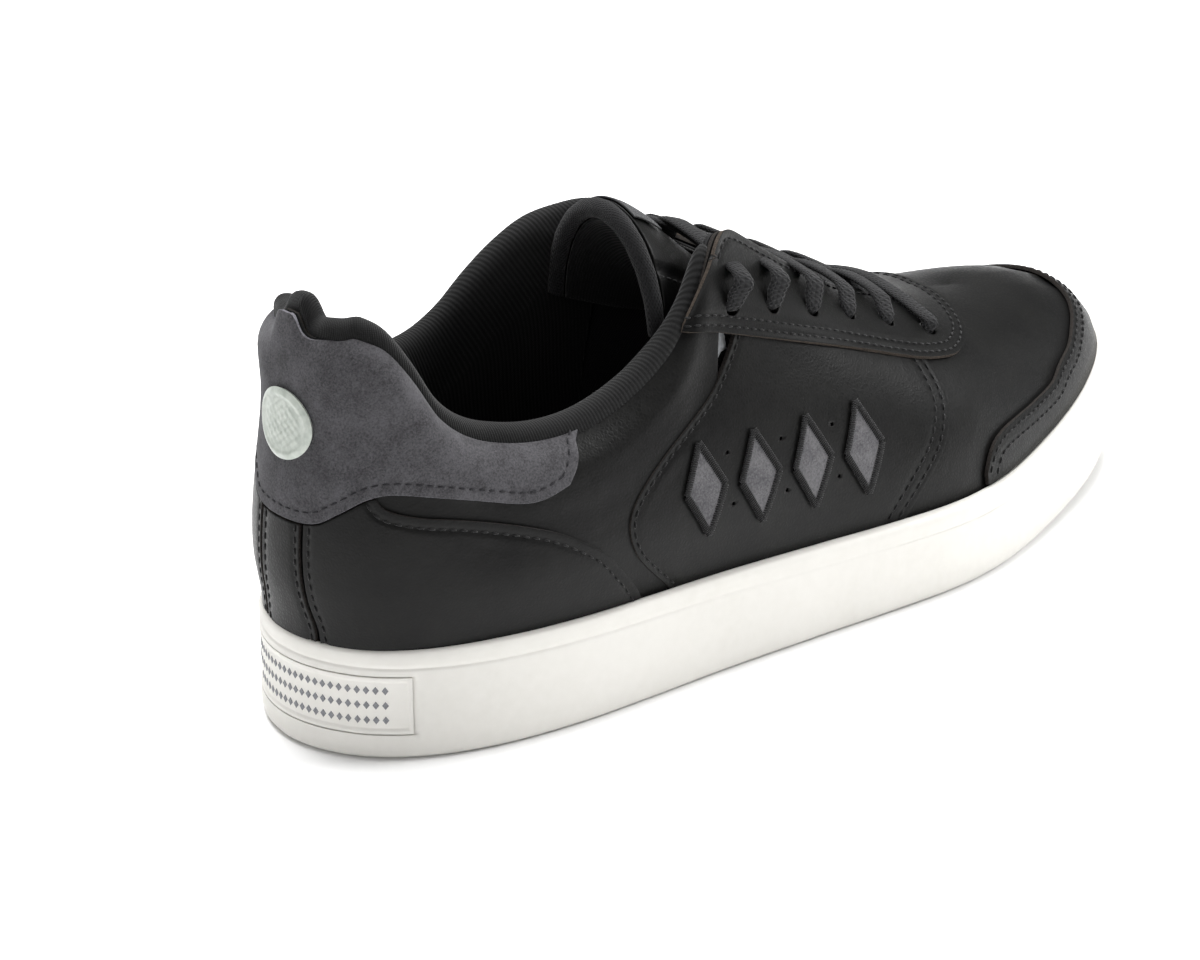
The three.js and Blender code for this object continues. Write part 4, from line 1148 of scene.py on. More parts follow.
class Upper:
    """The leather and suede pieces, their linings and stiffeners, and the thread between them."""

    def __init__(self, finishes: Finishes) -> None:
        """Works out the lines that several pieces share."""
        self.finishes = finishes
        self.opening = {side: self.opening_line(side) for side in Side}
        self.rear_seam = {side: self.seam(PATTERN.rear_seam, side, REAR_LAP) for side in Side}
        self.vamp_seam = {side: self.seam(PATTERN.vamp_seam, side, FRONT_LAP) for side in Side}
        self.eyelets = Eyelets()
        self.holes = self.eyelets.cutter()

    # -- shared lines

    @staticmethod
    def opening_line(side: Side) -> Array:
        """The shoe's whole upper edge on one side, from the heel's centre to the throat's front."""
        topline = TOPLINE.line(0.0, CORNER_GIRTH[side] * 0.985, 240)
        throat = LAST.locate(spline(PATTERN.throat[side], 10), (0, 1), side.zone)
        throat[-1, 1] = 1.0
        line = np.vstack([topline, softened(np.vstack([topline[-1:], throat]), 10)[1:]])
        line = even(line, 520, LAST.point(line[:, 0], line[:, 1]))
        past_heel = LAST.point(line[:, 0], line[:, 1])[:, 0].searchsorted(60)
        return np.vstack([line[:past_heel], softened(line[past_heel:], 40)])

    def opening_at(self, side: Side, x: float) -> int:
        """Index of the opening's point nearest to x, past the heel."""
        line = self.opening[side]
        return int(np.abs(LAST.point(line[:, 0], line[:, 1])[:, 0] - x).argmin())

    def opening_part(self, side: Side, start: float, end: float) -> Array:
        """The opening's edge between two stations of x."""
        a, b = self.opening_at(side, start), self.opening_at(side, end)
        return self.opening[side][a:b + 1]

    def seam(self, points: Sequence, side: Side, top: float) -> Array:
        """A seam from the opening's edge down to rise 0.

        Args:
            points: The seam's lower points, seen from the side.
            side: Which side.
            top: Where along the opening it starts.

        Returns:
            The seam as a chart line, bottom first.
        """
        low = seen_from_side(points, side)
        start = self.opening[side][self.opening_at(side, top)]
        line = softened(np.vstack([straight(start, low[0], 6)[:-1], low]), 3)
        line[-1, 1] = 0.0
        return line[::-1]

    @staticmethod
    def foot_line(start: float, end: float) -> Array:
        """The lower edge, tucked into the cupsole, between two girths."""
        return straight((start, 0.0), (end, 0.0))

    @staticmethod
    def rim_line(start: float, end: float, count: int = 160) -> Array:
        """A line just above the cupsole's rim between two girths."""
        girth = np.linspace(start, end, count)
        return np.stack([girth, LAST.rise_at(girth, lambda at: LAST.rim(at[:, 0]) + RIM_CLEAR)],
                        -1)

    # -- outer pieces

    def add(self, panel: Panel, finish: bpy.types.Material, slot: str,
            rim: Optional[bpy.types.Material] = None, punched: bool = False) -> bpy.types.Object:
        """Builds a panel, punches it where the lace goes through, and hangs it on the shoe."""
        made = panel.build(finish, rim)
        if punched:
            BENCH.punch(made, self.holes)
        return BENCH.dress(made, "shoe", slot, panel.name)

    def leather(self, panel: Panel, punched: bool = False,
                rim: Optional[bpy.types.Material] = None) -> bpy.types.Object:
        """Builds a panel of the black leather, with its cut edge."""
        rim = rim or self.finishes.leather_edge
        return self.add(panel, self.finishes.leather, "black_leather", rim, punched)

    def sew(self, name: str, panel: Panel, finish: Optional[bpy.types.Material] = None) -> None:
        """Stitches along a panel's grooves."""
        thread = Stitching(name)
        for row in panel.grooves:
            thread.row(row, panel.surface)
        BENCH.dress(thread.build(finish or self.finishes.thread), "shoe", "lace_fabric")

    def rear_quarter(self, side: Side) -> None:
        """The padded ankle piece, which runs on under the side panel."""
        foot = self.foot_line(0.0, self.rear_seam[side][0, 0])
        top = self.opening[side][:self.opening_at(side, REAR_LAP) + 1]
        panel = Panel(f"rear_quarter_{side.word}", foot, top, straight(foot[0], top[0]),
                      straight(foot[-1], top[-1]))
        self.leather(panel, punched=True)

    def quarter(self, side: Side) -> None:
        """The side panel, lapped over its neighbours front and back."""
        rear, front = self.rear_seam[side], self.vamp_seam[side]
        panel = Panel(f"quarter_{side.word}", self.foot_line(rear[0, 0], front[0, 0]),
                      self.opening_part(side, REAR_LAP, FRONT_LAP), rear, front, face=0.55,
                      cell=1.0)
        turn = side.value
        panel.grooves = [panel.inside(rear, 1.6, -turn), panel.inside(front, 2.0, turn),
                         panel.inside(front, 5.2, turn)]
        made = self.leather(panel, punched=True)
        punches = self.perforations(side)
        BENCH.punch(made, punches)
        bpy.data.objects.remove(punches)
        self.sew(f"quarter_stitching_{side.word}", panel)

    def perforations(self, side: Side) -> bpy.types.Object:
        """Cutters for the small air holes between the side's diamonds."""
        spots = [(117.2, 60.5), (117.2, 46.5), (135.7, 59.2), (135.7, 45.0), (154.2, 57.8),
                 (154.2, 43.6)]
        located = seen_from_side(spots, side, steps=1)
        return pegs(f"air_holes_{side.word}", LAST.point(located[:, 0], located[:, 1]),
                    LAST.normal(located[:, 0], located[:, 1]), 0.6, 6.0, 10)

    def vamp(self) -> None:
        """The toe and instep piece, one dome from seam to seam."""
        panel = self.dome("vamp", self.vamp_seam, self.over_toe(FRONT_LAP, 0.14), cell=1.25)
        self.add(panel, self.finishes.leather, "black_leather", None, True)

    def dome(self, name: str, seams: dict[Side, Array], north: Array, **fields) -> Panel:
        """A panel over the toes, from the medial seam round to the lateral one.

        Args:
            name: The panel's name.
            seams: Its two ends, each from the foot up.
            north: Its border along the opening and the ridge.
            fields: What else the panel is given.

        Returns:
            The panel, with its borders measured out.
        """
        medial, lateral = seams[Side.MEDIAL], past_toe(seams[Side.LATERAL])
        south = self.foot_line(medial[0, 0], lateral[0, 0])
        probe = Panel(name, south, north, medial, lateral, **fields)
        return replace(probe, south=even(south, 221, probe.points(south)),
                       west=probe.border(medial), east=probe.border(lateral), seams=0.02,
                       measured=True)

    def over_toe(self, start: float, share: float) -> Array:
        """The throat's front and the ridge to the toe, out along one side and back on the other.

        Args:
            start: Where along the opening it starts.
            share: Share of the line's points that lie on the opening.

        Returns:
            The line in the girth chart.
        """
        halves = []
        edge_count, ridge_count = 32, 400
        for side in (Side.MEDIAL, Side.LATERAL):
            edge = past_toe(self.opening_part(side, start, THROAT_FRONT))
            edge = even(edge, edge_count, LAST.point(edge[:, 0], edge[:, 1]))
            edge[-1, 0] = np.mod(girth_at(THROAT_FRONT, side), 2.0)
            ridge = np.linspace(edge[-1, 0], 1.0, ridge_count)
            line = np.stack([ridge, np.ones(ridge_count)], -1)
            drift = np.linspace(0, 0.02, ridge_count)[:, None]   # keeps points apart on a flat
            ridge_points = even(line, int(edge_count / share) - edge_count,
                                LAST.point(line[:, 0], line[:, 1]) + drift)
            halves.append(np.vstack([edge[:-1], ridge_points]))
        return np.vstack([halves[0], halves[1][::-1][1:]])

    def eyestay(self) -> None:
        """The U-shaped lacing piece round the throat, with its raw lower edge and twin rows."""
        outer, inner = [], []
        for side in Side:
            low = seen_from_side(PATTERN.stay + ((211, 57), (222, 54)), side)
            if side is Side.LATERAL:
                low = low[8:]
            tip = [p for p in PATTERN.stay_front if side.value * p[1] > -3]
            tip = tip[::-1] if side is Side.MEDIAL else tip
            front = seen_from_above(tip, side.zone)
            outer.append(over_ridge(meet(low, front), side))
            inner.append(over_ridge(self.opening_part(side, PATTERN.corner, THROAT_FRONT),
                                    side))
        south = softened(np.vstack([outer[0], outer[1][::-1]]), 8)
        north = softened(np.vstack([inner[0], inner[1][::-1]]), 4)
        medial_rear = over_ridge(self.opening_part(Side.MEDIAL, 106, PATTERN.corner), Side.MEDIAL)
        west = straight(south[0], north[0])
        east = np.vstack([south[-1:], medial_rear])
        panel = Panel("eyestay", south, north, west, even(east, 60), face=1.8, thickness=OVERLAY,
                      cell=1.0, chart=Chart.RIDGE)
        panel.grooves = [panel.inside(south, 1.8, -1), panel.inside(south, 4.4, -1),
                         panel.inside(north, 2.4, 1)]
        panel.groove_depth = 0.25
        self.leather(panel, True, self.finishes.stay_edge)
        self.sew("eyestay_stitching", panel)

    def toe_overlay(self) -> None:
        """The band round the toe, edged with two raised rows."""
        line = seen_from_above(PATTERN.toe_line, (0.5, 1.5))[::-1]
        south = self.rim_line(line[0, 0], line[-1, 0])
        north = line.copy()
        floor = np.interp(line[:, 0], south[:, 0], south[:, 1])
        north[:, 1] = np.maximum(line[:, 1], floor + 0.004)
        panel = Panel("toe_overlay", south, north, straight(south[0], north[0], 8),
                      straight(south[-1], north[-1], 8), face=OVERLAY_FACE, thickness=OVERLAY,
                      cell=1.0)
        panel.grooves = [panel.inside(north, 1.7, -1), panel.inside(north, 5.0, -1)]
        self.leather(panel)
        self.sew("toe_stitching", panel)

    def heel_pieces(self) -> None:
        """The suede heel tab, the foxings below it and the strip up the back."""
        strips = {}
        for side in Side:
            zone = (0.0, 0.35) if side is Side.MEDIAL else (-0.35, 0.0)
            z = np.linspace(31.0, 64.6, 30)
            wanted = np.stack([HEEL_CENTRE + side.value * PATTERN.strip_half(z), z], -1)
            strips[side] = LAST.locate(wanted, (1, 2), zone)
        self.back_strip(strips)
        for side in Side:
            self.foxing(side, strips[side])
        self.heel_tab()

    def back_strip(self, strips: dict[Side, Array]) -> None:
        """The narrow strip that covers the back seam."""
        low = {side: line[0] for side, line in strips.items()}
        south = self.rim_line(low[Side.LATERAL][0], low[Side.MEDIAL][0], count=40)
        north = straight(strips[Side.LATERAL][-1], strips[Side.MEDIAL][-1], 30)
        panel = Panel("heel_back_strip", south, north, strips[Side.LATERAL], strips[Side.MEDIAL],
                      face=OVERLAY_FACE, thickness=OVERLAY, cell=0.8)
        panel.grooves = [panel.inside(strips[side], 1.5, side.value) for side in Side]
        self.leather(panel)
        self.sew("heel_strip_stitching", panel)

    def foxing(self, side: Side, strip: Array) -> None:
        """The counter piece low on the heel, one curved edge with a row of stitches."""
        front = seen_from_side(PATTERN.foxing, side)[::-1]
        step = math.copysign(0.006, side.value)
        west = strip + np.array([step, 0])
        south = self.rim_line(west[0, 0], front[0, 0])
        girth = np.linspace(west[-1, 0], front[-1, 0], 30)
        tab = LAST.rise_at(girth, lambda at: PATTERN.tab(at[:, 0]) - 0.4)
        north = np.stack([girth, tab], -1)
        west = np.vstack([west[:-3], north[:1]])
        front = np.vstack([south[-1:], front[front[:, 1] > south[-1, 1]][:-1], north[-1:]])
        panel = Panel(f"heel_foxing_{side.word}", south, north, west, softened(front, 4),
                      face=OVERLAY_FACE, thickness=OVERLAY, cell=1.0)
        panel.grooves = [panel.inside(front, 2.6, side.value),
                         panel.inside(west, 1.5, -side.value)]
        self.leather(panel)
        self.sew(f"foxing_stitching_{side.word}", panel)

    def heel_tab(self) -> None:
        """The grey suede wrapped round the heel under the collar's edge."""
        corner = {}
        for side in Side:
            line = seen_from_side(PATTERN.tab_front, side)
            level = LAST.point(line[:, 0], line[:, 1])[:, 2]
            corner[side] = line[level < TOPLINE.height(line[:, 0]) - 1.5]
        girth = np.linspace(corner[Side.LATERAL][0, 0], corner[Side.MEDIAL][0, 0], 260)
        south = np.stack([girth, LAST.rise_at(girth, lambda at: PATTERN.tab(at[:, 0]))], -1)
        top = {side: girth_at(TAB_REACH, side) for side in Side}
        north = TOPLINE.line(top[Side.LATERAL], top[Side.MEDIAL], 400)
        west = np.vstack([corner[Side.LATERAL], north[:1]])
        east = np.vstack([corner[Side.MEDIAL], north[-1:]])
        panel = Panel("heel_tab", softened(south, 3), north, west, east, face=SUEDE_FACE,
                      thickness=LEATHER, cell=1.1)
        panel.grooves = [panel.inside(south, 3.0, 1), panel.inside(west, 3.0, -1),
                         panel.inside(east, 3.0, 1)]
        panel.groove_depth = 0.4
        self.add(panel, self.finishes.suede, "grey_suede", self.finishes.suede_edge)
        self.sew("heel_tab_stitching", panel, self.finishes.pale_thread)

    def diamonds(self, side: Side, count: int = 4, pitch: float = 18.5) -> None:
        """Four upright suede diamonds, each framed in black satin stitch."""
        half_wide, half_tall = 6.6, 12.5
        frame_thread = Stitching(f"diamond_frames_{side.word}", thread=0.62, lift=0.16)
        for index in range(count):
            x, z = 108 + index * pitch, 53 - index * 1.4
            tips = [(x - half_wide, z), (x, z - half_tall), (x + half_wide, z), (x, z + half_tall)]
            if side is Side.LATERAL:
                tips = [tips[2], tips[1], tips[0], tips[3]]
            lines = [seen_from_side([tips[a], tips[b]], side, steps=10)
                     for a, b in ((0, 1), (3, 2), (0, 3), (1, 2))]
            panel = Panel(f"diamond_{side.word}_{index + 1}", *lines, face=1.15, thickness=0.55,
                          cell=0.6, rounding=0.15)
            self.add(panel, self.finishes.trim_suede, "grey_suede")
            for line in lines:
                frame_thread.row(panel.points(line, 1.0), panel.surface, pitch=0.6, across=2.6)
        BENCH.dress(frame_thread.build(self.finishes.thread), "shoe", "lace_fabric")

    # -- inner pieces

    def stiffeners(self) -> None:
        """The heel counter, the toe puff and the backings that the lining hides."""
        reach = {side: girth_at(70, side) for side in Side}
        girth = np.linspace(reach[Side.LATERAL], reach[Side.MEDIAL], 160)
        north = np.stack([girth, LAST.rise_at(girth, lambda at: PATTERN.counter(at[:, 0]))], -1)
        south = self.foot_line(girth[0], girth[-1])
        self.stiffener("heel_counter", south, north, 2.5)
        line = seen_from_above([(x - 9, y) for x, y in PATTERN.toe_line[1:-1]], (0.5, 1.5))[::-1]
        foot = self.foot_line(line[0, 0], line[-1, 0])
        self.stiffener("toe_puff", foot, line, 2.5)
        for side in Side:
            low = seen_from_side(PATTERN.stay[1:], side)
            edge = self.opening_part(side, PATTERN.corner, 200)
            self.stiffener(f"eyestay_backing_{side.word}", low, edge, 2.0, True)

    def stiffener(self, name: str, south: Array, north: Array, cell: float,
                  punched: bool = False) -> None:
        """One hidden sheet between two borders."""
        panel = Panel(name, south, north, straight(south[0], north[0]),
                      straight(south[-1], north[-1]), face=STIFFENER_FACE, thickness=SKIN,
                      cell=cell, rounding=0.2)
        self.add(panel, self.finishes.stiffener, "stiffener", None, punched)

    def vamp_lining(self) -> None:
        """The fabric inside the toe and instep."""
        seams = {side: seen_from_side(PATTERN.lining_seam, side)[::-1] for side in Side}
        for side, line in seams.items():
            line[0, 1] = 0.0
            start = self.opening[side][self.opening_at(side, LINING_LAP)]
            seams[side] = np.vstack([line, straight(line[-1], start, 8)[1:]])
        panel = self.dome("vamp_lining", seams, self.over_toe(LINING_LAP, 0.4), face=LINING_FACE,
                          thickness=SKIN, cell=2.2, rounding=0)
        self.add(panel, self.finishes.twill, "lining_fabric", None, True)


def pegs(name: str, points: Array, directions: Array, radius: float, depth: float,
         sides: int) -> bpy.types.Object:
    """Makes a hidden cutter of round pegs.

    Args:
        name: The cutter's name.
        points: Pattern points that the pegs pass through.
        directions: The pegs' axes.
        radius: Radius in millimetres.
        depth: Length in millimetres.
        sides: How many sides each peg has.

    Returns:
        The cutter, which isn't rendered.
    """
    mesh = bmesh.new()
    for at, axis in zip(BENCH.place(points), directions):
        turn = Vector(axis).to_track_quat("Z", "Y").to_matrix().to_4x4()
        bmesh.ops.create_cone(mesh, cap_ends=True, segments=sides, radius1=radius * MM,
                              radius2=radius * MM, depth=depth * MM,
                              matrix=Matrix.Translation(Vector(at)) @ turn)
    made = BENCH.piece(name, mesh, [])
    made.hide_render = True
    made.hide_viewport = True
    return made


class Eyelets:
    """The six pairs of plain punched lace holes."""

    pairs = 6
    height = staticmethod(through((128, 95.5), (145, 90.5), (159, 84.8), (176, 77.4), (192, 70.2),
                                  (207, 63.4)))

    def __init__(self) -> None:
        """Places the holes from the front of the throat to the collar."""
        self.points: list[dict[Side, Array]] = []
        self.normals: list[dict[Side, Array]] = []
        for pair in range(self.pairs):
            x = mix(207.0, 128.0, pair / (self.pairs - 1))
            places = {side: seen_from_side([(x, float(self.height(x)))] * 2, side, steps=1)[:1]
                      for side in Side}
            self.points.append({s: LAST.point(at[:, 0], at[:, 1])[0] for s, at in places.items()})
            self.normals.append({s: LAST.normal(at[:, 0], at[:, 1])[0] for s, at in places.items()})

    def cutter(self) -> bpy.types.Object:
        """The pegs that punch the holes."""
        points = np.array([row[side] for row in self.points for side in Side])
        normals = np.array([row[side] for row in self.normals for side in Side])
        return pegs("lace_punch", points, normals, EYELET_RADIUS, 16, 20)


# ---- Collar --------------------------------------------------------------------------------------


@dataclass
class Collar:
    """The padded top of the shoe: knit rolled over foam, and the lining down to the footbed."""

    finishes: Finishes
    columns: int = 420
    finger_at: float = 1.8          # y of the pull at the top of the heel
    floor_drop: float = 11.2        # how far below the cupsole's rim the lining ends
    lining: tuple = ((-2.5, -2.4), (-2.0, -0.4), (-1.9, 1.0), (-2.3, 2.4), (-3.4, 3.5),
                     (-5.0, 3.7), (-6.6, 2.8), (-7.7, 0.8), (-8.3, -2.4), (-8.7, -7.0),
                     (-8.7, -12.0), (-8.1, -17.5), (-7.0, -23.5), (-5.4, -30.0), (-3.9, -37.0),
                     (-3.2, -45.0))
    foam_core: tuple = ((-2.0, -3.0), (-3.4, 1.6), (-5.2, 2.2), (-6.9, -0.5), (-7.7, -7.0),
                        (-7.6, -12.0), (-6.6, -20.0), (-4.6, -30.0), (-2.2, -33.0), (-1.9, -18.0))

    def section(self, profile: Sequence[tuple[float, float]], steps: int) -> Array:
        """The cross-section, smoothed and evenly spaced."""
        return even(spline(profile, 6), steps)

    def loft(self, section: Array, deep: float) -> Callable[[Array, Array], Array]:
        """A loft of the section round the collar.

        Args:
            section: Depth into the shoe and height over the topline.
            deep: Share of the section that is stretched down to the footbed, or 0.

        Returns:
            The shape for a grid.
        """
        start, end = CORNER_GIRTH[Side.LATERAL], CORNER_GIRTH[Side.MEDIAL]
        marks = np.linspace(0, 1, len(section))

        def shape(u: Array, w: Array) -> Array:
            """Points of the loft."""
            girth = mix(start, end, u)
            at = np.interp(w, marks, section[:, 0])
            over = np.interp(w, marks, section[:, 1])
            edge = mix(TOPLINE.height(girth), TOPLINE.eased_height(girth), ease(2.2, 6.0, -at))
            x = np.interp(girth, TOPLINE.girth, TOPLINE.points[:, 0])
            y = np.interp(girth, TOPLINE.girth, TOPLINE.points[:, 1])
            thin = ease(98, 122, x)
            finger = (1 - ease(3, 13, np.abs(y - self.finger_at))) * (x < 20)
            depth = at * mix(1.0, 0.55, thin) - 0.5 * thin
            depth = np.where(depth < -2.5, -2.5 + (depth + 2.5) * mix(1, 0.8, finger), depth)
            depth -= finger
            height = over * mix(1.0, 0.75, thin) * np.where(over > 0, mix(1, 0.85, finger), 1)
            if deep:
                floor = LAST.rim(x) - self.floor_drop
                tail = np.clip((w - deep) / (1 - deep), 0, 1)
                low = edge + section[-1, 1] * mix(1.0, 0.75, thin)
                height = height + np.where(low > floor, (floor - low) * tail ** 1.4, 0)
                height = np.maximum(height, floor - edge)
            wanted = edge + height
            rise = LAST.rise_at(girth, lambda _: wanted)
            return LAST.point(girth, rise) + LAST.normal(girth, rise) * depth[:, None]

        return shape

    def build(self) -> None:
        """Makes the collar's lining and its foam."""
        finishes = self.finishes
        shape = self.loft(self.section(self.lining, 90), 0.55)
        mesh = BENCH.grid(self.columns, 90, shape, (330, 95))
        mesh.normal_update()
        bmesh.ops.reverse_faces(mesh, faces=mesh.faces[:])
        lining = BENCH.piece("collar_lining", mesh, [finishes.twill])
        BENCH.thicken(lining, SKIN, offset=1.0)
        BENCH.dress(lining, "shoe", "lining_fabric", "collar_lining")
        ring = self.section((*self.foam_core, self.foam_core[0]), 40)
        mesh = BENCH.grid(200, 40, self.loft(ring, 0), (330, 80), seams=0.01)
        bmesh.ops.holes_fill(mesh, edges=[e for e in mesh.edges if e.is_boundary], sides=0)
        bmesh.ops.recalc_face_normals(mesh, faces=mesh.faces[:])
        foam = BENCH.piece("collar_foam", mesh, [finishes.foam])
        BENCH.dress(foam, "shoe", "padding_foam", "collar_foam")


# ---- Sole ----------------------------------------------------------------------------------------


TREAD_RINGS = 4
CUP_RINGS = 8


@dataclass
class Sole:
    """The moulded cupsole with its tread, and the plaque let into the heel."""

    finishes: Finishes
    columns: int = 420
    tread_rim: float = 8.0
    tread_depth: float = 2.4
    cup_floor: float = 3.2
    plaque_levels: tuple = (0.235, 0.775)
    plaque_half: float = 31.0
    plaque_sunk: float = 0.9
    lug_pitch: float = 13.5
    lug_radius: float = 5.2

    def side_profile(self) -> list[tuple[float, float, float]]:
        """The wall from the ground to the lip: inset, level and height above or below it."""
        low = [(2.6, 0, 0.0), (1.7, 0, 0.12), (0.95, 0, 0.5), (0.45, 0, 1.15), (0.12, 0, 2.2),
               (0.0, 0.16, 0)]
        step = 0.004
        first, last = self.plaque_levels
        wall = [(0.0, first - step, 0), (0.0, first + step, 0)]
        wall += [(0.02, level, 0) for level in np.linspace(first + 0.05, last - 0.05, 8)]
        wall += [(0.05, last - step, 0), (0.05, last + step, 0)]
        lip = [(0.08, 1, -5.6), (0.16, 1, -5.2), (0.42, 1, -4.85), (0.4, 1, -4.6), (0.14, 1, -4.2),
               (0.08, 1, -3.4), (0.1, 1, -2.2), (0.16, 1, -1.3), (0.42, 1, -0.55), (0.9, 1, -0.12),
               (1.5, 1, 0.0)]
        return low + wall + lip

    def plaque_mask(self, girth: Array) -> Array:
        """1 where the plaque's pocket is, round the heel."""
        y = LAST.outline(girth)[:, 1] - HEEL_CENTRE
        x = LAST.outline(girth)[:, 0]
        return np.where(x < 60, 1 - ease(self.plaque_half, self.plaque_half + 0.7, np.abs(y)), 0)

    def wall_point(self, girth: Array, inset: Array, height: Array) -> Array:
        """A point of the wall at an inset from the outline."""
        flat = LAST.outline(girth) - inset[:, None] * LAST.plan_normal(girth)
        return np.column_stack([flat, height])

    def shape(self, u: Array, w: Array) -> Array:
        """The cupsole's whole skin, from the middle of the tread round to the middle of the cup."""
        girth = 2 * u
        profile = self.side_profile()
        rows = self.rings()
        row = np.rint(w * (rows - 1)).astype(int)
        x = LAST.outline(girth)[:, 0]
        ground, rim = LAST.spring(x), LAST.rim(x)
        inset, height = np.zeros(len(u)), np.zeros(len(u))
        shrink = np.zeros(len(u))
        mask = self.plaque_mask(girth)
        first, last = self.plaque_levels
        groove_fade = 1 - ease(60, 150, x)
        for index in range(rows):
            here = row == index
            if index < TREAD_RINGS:
                spots = ((0, self.tread_depth, 1.0), (self.tread_rim + 0.4, self.tread_depth, 0),
                         (self.tread_rim, self.tread_depth - 0.5, 0), (self.tread_rim - 0.5, 0, 0))
                inset[here], height[here] = spots[index][0], (ground + spots[index][1])[here]
                shrink[here] = spots[index][2]
            elif index < TREAD_RINGS + len(profile):
                back, level, lift = profile[index - TREAD_RINGS]
                groove = 0.3 if lift in (-4.85, -4.6) else 0.0
                inset[here] = (back - groove * (1 - groove_fade))[here] if groove else back
                height[here] = (mix(ground, rim, level) + lift)[here]
                if level and first < level < last and not lift:
                    inset[here] += ((self.plaque_sunk + RIM_CLEAR) * mask)[here]
            else:
                down = index - TREAD_RINGS - len(profile)
                edge = mix(LAST.edge_heel, LAST.edge_side, ease(0, 45, x)) - RIM_CLEAR
                inner = ((-1.3, 0.0), (-0.5, -0.1), (-0.1, -0.5), (0.0, -1.4), (0.0, -7.0),
                         (0.4, None), (1.0, None), (0.0, None))[down]
                inset[here] = (edge + inner[0])[here]
                floor = ground + self.tread_depth + self.cup_floor
                height[here] = (rim + inner[1] if inner[1] is not None else floor)[here]
                if down == CUP_RINGS - 1:
                    shrink[here] = 1.0
        spine = np.clip(x, 26, 275)
        level = LAST.spring(spine) + self.tread_depth + np.where(row == 0, 0, self.cup_floor)
        centre = np.column_stack([spine, LAST.centre(x), level])
        return np.where(shrink[:, None] > 0, centre, self.wall_point(girth, inset, height))

    def rings(self) -> int:
        """How many rings the cupsole's skin has: tread, wall and cup."""
        return TREAD_RINGS + len(self.side_profile()) + CUP_RINGS

    def cupsole(self) -> None:
        """The rubber cup, with the tread's studs under it."""
        mesh = BENCH.grid(self.columns, self.rings() - 1, self.shape, (760, 90), seams=0.004)
        bmesh.ops.recalc_face_normals(mesh, faces=mesh.faces[:])
        self.studs(mesh)
        piece = BENCH.piece("cupsole", mesh, [self.finishes.rubber])
        piece.data.set_sharp_from_angle(angle=math.radians(48))
        BENCH.dress(piece, "shoe", "sole_rubber", "cupsole")

    def studs(self, mesh: bmesh.types.BMesh) -> None:
        """Six-sided studs over the tread, in rows that interlock."""
        step = self.lug_pitch * 0.87
        for column in range(int((LENGTH - 34) / step)):
            x = 20 + column * step
            middle = float(LAST.centre(x))
            for row in range(-5, 6):
                y = middle + (row + 0.5 * (column % 2)) * self.lug_pitch
                if self.room_at(x, y) < self.tread_rim + self.lug_radius + 0.8:
                    continue
                depth = self.tread_depth + 0.4
                low = float(LAST.spring(x))
                at = BENCH.place([[x, y, low + depth / 2]])[0]
                tilt = math.atan2(float(LAST.spring(x + 1)) - float(LAST.spring(x - 1)), 2)
                turn = Matrix.Rotation(-tilt, 4, "Y") @ Matrix.Rotation(math.pi / 6, 4, "Z")
                bmesh.ops.create_cone(mesh, cap_ends=True, segments=6,
                                      radius1=self.lug_radius * 0.86 * MM,
                                      radius2=self.lug_radius * MM, depth=depth * MM,
                                      matrix=Matrix.Translation(Vector(at)) @ turn)

    @staticmethod
    def room_at(x: float, y: float) -> float:
        """Distance from a point of the sole to its outline, negative outside."""
        outline = LAST.outline(np.linspace(0, 2, 400))
        gap = float(np.linalg.norm(outline - np.array([x, y]), axis=1).min())
        near = np.abs(outline[:, 0] - x) < 3
        within = 3 < x < LENGTH - 3 and outline[near, 1].min() < y < outline[near, 1].max()
        return gap if within else -gap

    def plaque(self) -> None:
        """The heel's plaque: a frame round a field of small printed lozenges."""
        girth = np.linspace(-0.25, 0.25, 4001)
        inside = np.abs(LAST.outline(girth)[:, 1] - HEEL_CENTRE) <= self.plaque_half
        start, end = girth[inside][0], girth[inside][-1]
        first, last = self.plaque_levels[0] + 0.008, self.plaque_levels[1] - 0.008

        def face(u: Array, w: Array) -> Array:
            """The plaque's outer face, sunk inside its frame."""
            at = mix(start, end, u)
            x = LAST.outline(at)[:, 0]
            edge_u = np.minimum(u, 1 - u) * 2 * 56
            edge_w = np.minimum(w, 1 - w) * 17
            field = ease(1.0, 1.5, np.minimum(edge_u, edge_w))
            level = mix(LAST.spring(x), LAST.rim(x), mix(first, last, w))
            return self.wall_point(at, 0.05 + 0.35 * field, level)

        def outward(u: Array, w: Array) -> Array:
            """The wall's outward direction."""
            flat = LAST.plan_normal(mix(start, end, u))
            return np.column_stack([flat, np.zeros(len(u))])

        mesh = BENCH.grid(260, 46, face, (96, 17), outward)
        surface = BVHTree.FromBMesh(mesh)
        piece = BENCH.piece("heel_plaque", mesh, [self.finishes.plaque])
        BENCH.thicken(piece, 0.55)
        BENCH.round_edges(piece, 0.12)
        BENCH.dress(piece, "shoe", "plaque_rubber", "heel_plaque")
        marks = bmesh.new()
        for row in range(3):
            count = 27 - 3 * row
            for column in range(count):
                u = 0.07 + 0.86 * (column + 0.5) / 27
                w = 0.76 - 0.26 * row
                spot = BENCH.place(face(np.array([u]), np.array([w])))[0]
                at, normal, _, _ = surface.find_nearest(Vector(spot))
                turn = normal.to_track_quat("Z", "Y").to_matrix().to_4x4()
                size = Matrix.Diagonal((1.0, 1.35, 1.0, 1.0))
                bmesh.ops.create_cone(marks, cap_ends=True, segments=4, radius1=0.95 * MM,
                                      radius2=0.8 * MM, depth=0.3 * MM,
                                      matrix=Matrix.Translation(at) @ turn @ size)
        piece = BENCH.piece("plaque_lozenges", marks, [self.finishes.print])
        piece.data.set_sharp_from_angle(angle=math.radians(30))
        BENCH.dress(piece, "shoe", "plaque_rubber")

    def build(self) -> None:
        """Makes the sole's pieces."""
        self.cupsole()
        self.plaque()


